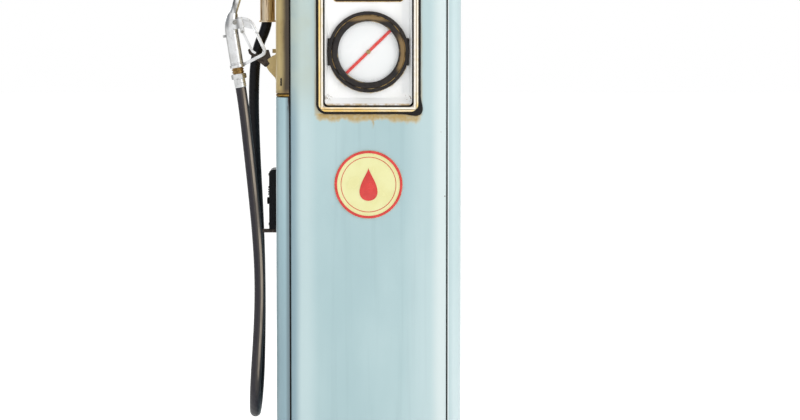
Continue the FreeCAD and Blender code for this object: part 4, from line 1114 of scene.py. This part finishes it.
def drop_outline(half_width, height, steps=40):
    """A drop: a circle whose sides are pinched in towards its top."""
    points = []
    for i in range(steps):
        a = 2 * math.pi * i / steps
        pinch = math.sin(a / 2) ** 1.6
        points.append((half_width * math.sin(a) * pinch * 1.18, BADGE_Z + height / 2 * math.cos(a)))
    return points


pools.append(raised_shape(drop_outline(0.030, 0.088), FIELD_Y, 0.0014, 0.0006))
badge_mesh = joined(pools, "badge_enamel")
own("badge_red_enamel", badge_mesh, badge_red)

# %% [markdown]
# ## Screws
#
# Slotted steel screws hold the brackets, the boot and the box. They repeat, so one low-poly
# head is modelled, and a Geometry Nodes tree puts a copy on every point, turned to face
# outwards and spun by a seeded random angle, because nobody lines up the slots.

# %% A slotted head
HEAD_SIDES = 10  # points round half a head
SLOT_HALF = 0.13


def disc(bm, angles, start, top, keep=lambda y: y):
    """A low disc with a narrowed top; keep says where each point's Y may be."""
    rings = []
    for level, shrink in ((start, 1.0), (top - 0.16, 1.0), (top, 0.78)):
        places = [(math.cos(a) * shrink, keep(math.sin(a) * shrink), level) for a in angles]
        rings.append([bm.verts.new(place) for place in places])
    for low, high in zip(rings, rings[1:]):
        for k in range(len(angles)):
            n = (k + 1) % len(angles)
            bm.faces.new((low[k], low[n], high[n], high[k]))
    bm.faces.new(rings[-1])
    bm.faces.new(rings[0][::-1])


def slotted_head():
    """A screw head of radius 1 along +Z: a flat disc with two half discs on it, a slot apart."""
    bm = bmesh.new()
    disc(bm, [math.pi * i / HEAD_SIDES for i in range(2 * HEAD_SIDES)], 0.0, 0.28)
    first = math.asin(SLOT_HALF)
    half = [first + (math.pi - 2 * first) * i / (HEAD_SIDES - 1) for i in range(HEAD_SIDES)]
    for side in (1, -1):
        disc(bm, half, 0.2, 0.5, keep=lambda y: side * max(y, SLOT_HALF))
    return tidy(mesh_from(bm, "slotted_head"))

# %% [markdown]
# Each point carries the direction that its surface faces, as a named attribute.

# %% Screws on points
def scatter_tree():
    tree, given, out = new_tree("screws_on_points", [
        ("Geometry", "Geometry"), ("Head", "Object"), ("Radius", "Float"), ("Seed", "Int"),
        ("Finish", "Material")])
    facing = add(tree, "GeometryNodeInputNamedAttribute", {"Name": "facing"}, data_type="FLOAT_VECTOR")
    turned = add(tree, "FunctionNodeAlignRotationToVector", {"Vector": facing.outputs[0]}, axis="Z")
    inputs = {2: 0.0, 3: math.pi, "Seed": given["Seed"]}
    spin = add(tree, "FunctionNodeRandomValue", inputs, data_type="FLOAT")
    about = add(tree, "FunctionNodeAxisAngleToRotation", {"Axis": (0, 0, 1), "Angle": spin.outputs[1]})
    inputs = {0: turned.outputs[0], 1: about.outputs[0]}
    rotation = add(tree, "FunctionNodeRotateRotation", inputs, rotation_space="LOCAL")
    head = add(tree, "GeometryNodeObjectInfo", {"Object": given["Head"]})
    placed = add(tree, "GeometryNodeInstanceOnPoints", {
        "Points": given["Geometry"], "Instance": head.outputs["Geometry"],
        "Rotation": rotation.outputs[0], "Scale": given["Radius"]})
    return close_tree(tree, out, placed.outputs[0], given["Finish"])


SCREWS = scatter_tree()
head_object = bpy.data.objects.new("slotted_head", slotted_head())


def screws(name, radius, seed, places):
    """Screws at places, each a point on a surface and the direction that the surface faces."""
    points = bpy.data.meshes.new(name)
    points.from_pydata([place for place, facing in places], [], [])
    attribute = points.attributes.new("facing", "FLOAT_VECTOR", "POINT")
    for item, (place, facing) in zip(attribute.data, places):
        item.vector = facing
    carrier = bpy.data.objects.new(name, points)
    for made in (carrier, head_object):
        bpy.context.collection.objects.link(made)
    mesh = made_by(SCREWS, carrier, {
        "Head": head_object, "Radius": radius, "Seed": seed, "Finish": steel.material})
    bpy.context.collection.objects.unlink(head_object)
    bpy.data.objects.remove(carrier)
    own(name, tidy(mesh), steel)
    print(name, len(places), "screws,", len(mesh.polygons), "faces")

# %% [markdown]
# The box, the boot and the hose's arm each have four screws near their corners.

# %% Screws on the left side
OUT_LEFT = (-1.0, 0.0, 0.0)


def corners_of(node, margin, x=None):
    """Four points near the corners of a node's outer face on the left side."""
    low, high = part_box(node)
    x = low.x if x is None else x
    across, up = ((low[i] + margin, high[i] - margin) for i in (1, 2))
    return [((x, y, z), OUT_LEFT) for y in across for z in up]


SIDE_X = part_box("left_upper_side_panel")[0].x
screws("box_screws", 0.0042, 4, corners_of("switch_box", 0.014))
screws("boot_screws", 0.0055, 7, corners_of("nozzle_boot", 0.011, SIDE_X - 0.008))
screws("arm_screws", 0.005, 9, corners_of("hose_arm", 0.009, SIDE_X - 0.006))

# %% [markdown]
# ## Grip on the switch knob
#
# The knob is gripped by its edge, so it is cut with teeth. A ring of teeth is a rule: one
# rounded bar, copied round a circle by nodes.

# %% Knob teeth
def teeth_tree():
    tree, given, out = new_tree("ring_of_teeth", [
        ("Count", "Int"), ("Ring Radius", "Float"), ("Tooth", "Vector"), ("Finish", "Material")])
    inputs = {"Vertices": given["Count"], "Radius": given["Ring Radius"]}
    ring = add(tree, "GeometryNodeMeshCircle", inputs)
    facing = add(tree, "GeometryNodeInputPosition")
    turned = add(tree, "FunctionNodeAlignRotationToVector", {"Vector": facing.outputs[0]}, axis="X")
    inputs = {"Size": given["Tooth"], "Vertices X": 2, "Vertices Y": 3, "Vertices Z": 2}
    tooth = add(tree, "GeometryNodeMeshCube", inputs)
    placed = add(tree, "GeometryNodeInstanceOnPoints", {
        "Points": ring.outputs[0], "Instance": tooth.outputs[0], "Rotation": turned.outputs[0]})
    return close_tree(tree, out, placed.outputs[0], given["Finish"])


TEETH = teeth_tree()


def ring_of_teeth(name, count, radius, tooth, place, finish):
    carrier = linked(name, bpy.data.meshes.new(name))
    mesh = made_by(TEETH, carrier, {
        "Count": count, "Ring Radius": radius, "Tooth": tooth, "Finish": finish.material})
    bpy.data.objects.remove(carrier)
    mesh.transform(place)
    own(name, mesh, finish)
    print(name, len(mesh.polygons), "faces")


knob_low, knob_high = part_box("switch_knob")
knob_middle = (knob_low + knob_high) / 2
knob_place = Matrix.Translation(knob_middle) @ Matrix.Rotation(math.pi / 2, 4, "Y")
TOOTH = (0.0014, 0.0011, 0.0045)
ring_of_teeth("knob_teeth", 24, 0.009, TOOTH, knob_place, black_enamel)

# A small ribbed cable gland sits above the knob.
RIB = (0.005, 0.012, 0.0042)
gland = []
for i in range(4):
    middle = (SIDE_X - 0.0255, knob_middle.y, knob_middle.z + 0.018 + 0.0065 * i)
    gland.append(soft_block(middle, RIB, 0.0012))
own("cable_gland", joined(gland, "cable_gland"), black_enamel)

# %% [markdown]
# ## Nozzle details
#
# The nozzle is cast aluminium. Its guard has raised lips along both edges, the valve cap has
# a slotted plug, and the ferrule is crimped in rings. All are placed in the nozzle's own
# frame, which leans nine degrees from upright, so they are given beside and along its axis.

# %% Nozzle's own frame
NOZZLE = Matrix.Translation(HOSE_END) @ Matrix.Rotation(-NOZZLE_LEAN, 4, "Y")


def rounded_line(corners, radii, steps=6):
    """Points along straight runs whose corners are rounded, in millimetres beside and along."""
    points = [Vector(corners[0])]
    for before, here, after, radius in zip(corners, corners[1:], corners[2:], radii):
        here = Vector(here)
        back = (Vector(before) - here).normalized()
        on = (Vector(after) - here).normalized()
        half = back.angle(on) / 2
        reach = radius / math.tan(half)
        centre = here + (back + on).normalized() * radius / math.sin(half)
        first = here + back * reach - centre
        sweep = first.angle_signed(here + on * reach - centre)
        for i in range(steps + 1):
            points.append(centre + Matrix.Rotation(-sweep * i / steps, 2) @ first)
    return points + [Vector(corners[-1])]


GUARD_LINE = rounded_line([(32, 184), (53, 184), (82.5, 81), (19, 60.3)], [34.0, 11.0])
LIP_OUT = 3.1
LIP_SIDE = 6.0
lips = []
for offset in (-LIP_OUT, LIP_OUT):
    for y in (-LIP_SIDE, LIP_SIDE):
        line = []
        for i, point in enumerate(GUARD_LINE):
            after = GUARD_LINE[min(i + 1, len(GUARD_LINE) - 1)]
            ahead = (after - GUARD_LINE[max(i - 1, 0)]).normalized()
            shifted = point + Vector((ahead.y, -ahead.x)) * offset
            line.append(NOZZLE @ (Vector((shifted.x, y, shifted.y)) * MM))
        lips.append(tube(line, 0.0012))
own("guard_lips", joined(lips, "guard_lips"), cast_aluminium)

# %% [markdown]
# The ferrule's crimped rings and the seams of the grip are thin tori on the nozzle's axis.
# The plug and the trigger's pivot have the same slotted heads as the screws.

# %% Ferrule rings, plug and seams
def nozzle_ring(name, along, radius, thickness):
    """A rounded ring round the nozzle's axis."""
    profile = arc((0.0, 0.0), thickness, 0, 330, 11)
    mesh = swept_circle(name, radius * MM, profile, 0.0, 0.0, cast_aluminium)
    flat = Matrix.Rotation(-math.pi / 2, 4, "X")
    mesh.transform(NOZZLE @ Matrix.Translation((0, 0, along * MM)) @ flat)
    return mesh


rings = [nozzle_ring("ferrule_ring", along, 15.6, 0.9) for along in (3.5, 8.0, 12.5)]
rings.append(nozzle_ring("grip_ring", 66.0, 17.8, 1.1))
rings.append(nozzle_ring("shoulder_ring", 146.0, 17.8, 0.7))
own("nozzle_rings", joined(rings, "nozzle_rings"), cast_aluminium)
HEADS = [
    ("valve_plug", 0.0062, 12, (13.0, 18.0, 176.0)),
    ("pivot_heads", 0.0036, 15, (29.0, 10.5, 148.0)),
]
for name, radius, seed, (beside, out, along) in HEADS:
    places = [(NOZZLE @ (Vector((beside, turn * out, along)) * MM), (0, turn, 0)) for turn in (-1, 1)]
    screws(name, radius, seed, places)
bpy.data.objects.remove(head_object)

# %% [markdown]
# ## Slot in the casing
#
# Low on the tan casing a keyhole plate is let into the rounded corner: a dark slot with three
# holes. It is a thin inlay that faces the way the corner faces there.

# %% Keyhole slot
SLOT_X, SLOT_Z = -0.234, 1.1365
CORNER_RADIUS = 0.036
corner_middle = Vector((-0.214, FRONT_Y + CORNER_RADIUS))
slot_side = SLOT_X - corner_middle.x
slot_front = math.sqrt(CORNER_RADIUS ** 2 - slot_side ** 2)
slot_turn = Matrix.Rotation(-math.atan2(slot_side, slot_front), 4, "Z")
slot_place = Matrix.Translation((SLOT_X, corner_middle.y - slot_front, SLOT_Z)) @ slot_turn
soot = coat("sooty_hole", "#0a0908", "#17110d", 0.004, 0.7, 0.9)
holes = [soft_block((0, 0, step * 0.0068), (0.0072, 0.0018, 0.0060), 0.0005) for step in (-1, 0, 1)]
holes.append(soft_block((0, 0, 0), (0.0034, 0.0018, 0.021), 0.0005))
slot_mesh = joined(holes, "keyhole_slot")
slot_mesh.transform(slot_place)
own("keyhole_slot", slot_mesh, soot)

# %% [markdown]
# ## Hose rubber
#
# The hose is black rubber with a wrapped fabric pattern pressed into it. Its front run hangs outdoors in
# the sun, so dust and chalk sit on the side that faces out, and a painted highlight runs along the same
# streak; its right edge is painted dark as shade, and the back run is painted near black. The surface's
# own normal says which side faces out.

# %% Hose finish
hose_rubber = f = Finish("hose_rubber_dust_and_sheen", "#2c2a31",
                         Roughness=0.5, IOR=1.5, Specular_IOR_Level=0.2)
outward = add(f.tree, "ShaderNodeNewGeometry").outputs["Normal"]
out_x, out_y = [Value(part) for part in add(f.tree, "ShaderNodeSeparateXYZ", {0: outward}).outputs][:2]
facing = out_x * 0.46 + out_y * -0.888
front_run = rise(f.y, -0.02, -0.12)
cloud = f.noise(0.02, tall=9.0, detail=4.0)
# The streak on the outward side: partly dust, partly a painted highlight.
dust_and_highlight = rise(facing + cloud * 0.03, 0.975, 1.008)
dust_and_highlight = dust_and_highlight * (rise(cloud, 0.4, 0.6) * 0.55 + 0.45) * front_run
f.paint(f.patches(0.03, 0.35, 0.7, tall=6.0), "#353236")
# A broader painted sheen on the side that faces out.
f.paint(rise(facing, 0.75, 0.97) * 0.5, "#57504a")
# Painted shade on the edge that faces +X.
f.paint(rise(out_x, 0.72, 0.93), "#0c0b0f")
# The back run is painted near black.
f.paint(1.0 - front_run, "#0a0a0f")
f.paint(dust_and_highlight * 0.8, "#b3a594")
f.paint(f.patches(0.005, 0.7, 0.78) * front_run * 0.5, "#8a8076")
f.roughness(dust_and_highlight, 0.42, 0.8)
wraps = calc("SINE", f.z * 420.0 + f.x * 300.0)
f.relief(wraps, 0.00012)
hose.data.materials.append(hose_rubber.material)

# %% [markdown]
# ## Floor and light
#
# A plain pale floor and a pale sky give soft light from everywhere. The sky is greyer to the
# sides, as between the screens of a studio, so metal and corners get an edge; the camera
# itself sees it plain white. One large soft lamp makes the right side brighter than the left.

# %% Floor
FLOOR_HALF = 30.0
floor_mesh = bpy.data.meshes.new("floor")
corners = [(x * FLOOR_HALF, y * FLOOR_HALF, 0) for x, y in ((-1, -1), (1, -1), (1, 1), (-1, 1))]
floor_mesh.from_pydata(corners, [], [(0, 1, 2, 3)])
floor = linked("floor", floor_mesh)
floor_paint = Finish("pale_floor", "#f4f4f2",
                     Roughness=0.9, Emission_Strength=0.3, Emission_Color=(1.0, 1.0, 1.0, 1.0))
floor_paint.paint(floor_paint.patches(0.8, 0.3, 0.7), "#f8f8f7")
floor_mesh.materials.append(floor_paint.material)

# %% [markdown]
# The sky's grey share grows with the direction's distance from front and back. The lamps are
# large discs that look at the middle of the cabinet.

# %% Lights
world = bpy.data.worlds.new("studio")
world.use_nodes = True
bpy.context.scene.world = world
sky_tree = world.node_tree
direction = add(sky_tree, "ShaderNodeTexCoord").outputs["Generated"]
sideways = Value(add(sky_tree, "ShaderNodeSeparateXYZ", {0: direction}).outputs[0])
sky = blend(rise(abs(sideways), 0.4, 0.95), "#ffffff", "#8d9296")
seen = Value(add(sky_tree, "ShaderNodeLightPath").outputs["Is Camera Ray"])
background = sky_tree.nodes["Background"].inputs
sky_tree.links.new(blend(seen, sky, "#ffffff").socket, background["Color"])
background["Strength"].default_value = 1.0
LIT = Vector((0.0, 0.0, 1.0))


def soft_lamp(name, place, power):
    lamp = bpy.data.lights.new(name, "AREA")
    lamp.shape = "DISK"
    lamp.size = 2.4
    lamp.energy = power
    made = linked(name, lamp)
    made.location = place
    made.rotation_euler = (LIT - Vector(place)).to_track_quat("-Z", "Y").to_euler()


soft_lamp("key", (3.6, -3.4, 3.0), 60.0)
soft_lamp("rear_fill", (-2.6, 3.6, 2.8), 40.0)
bpy.context.scene.view_settings.view_transform = "Standard"
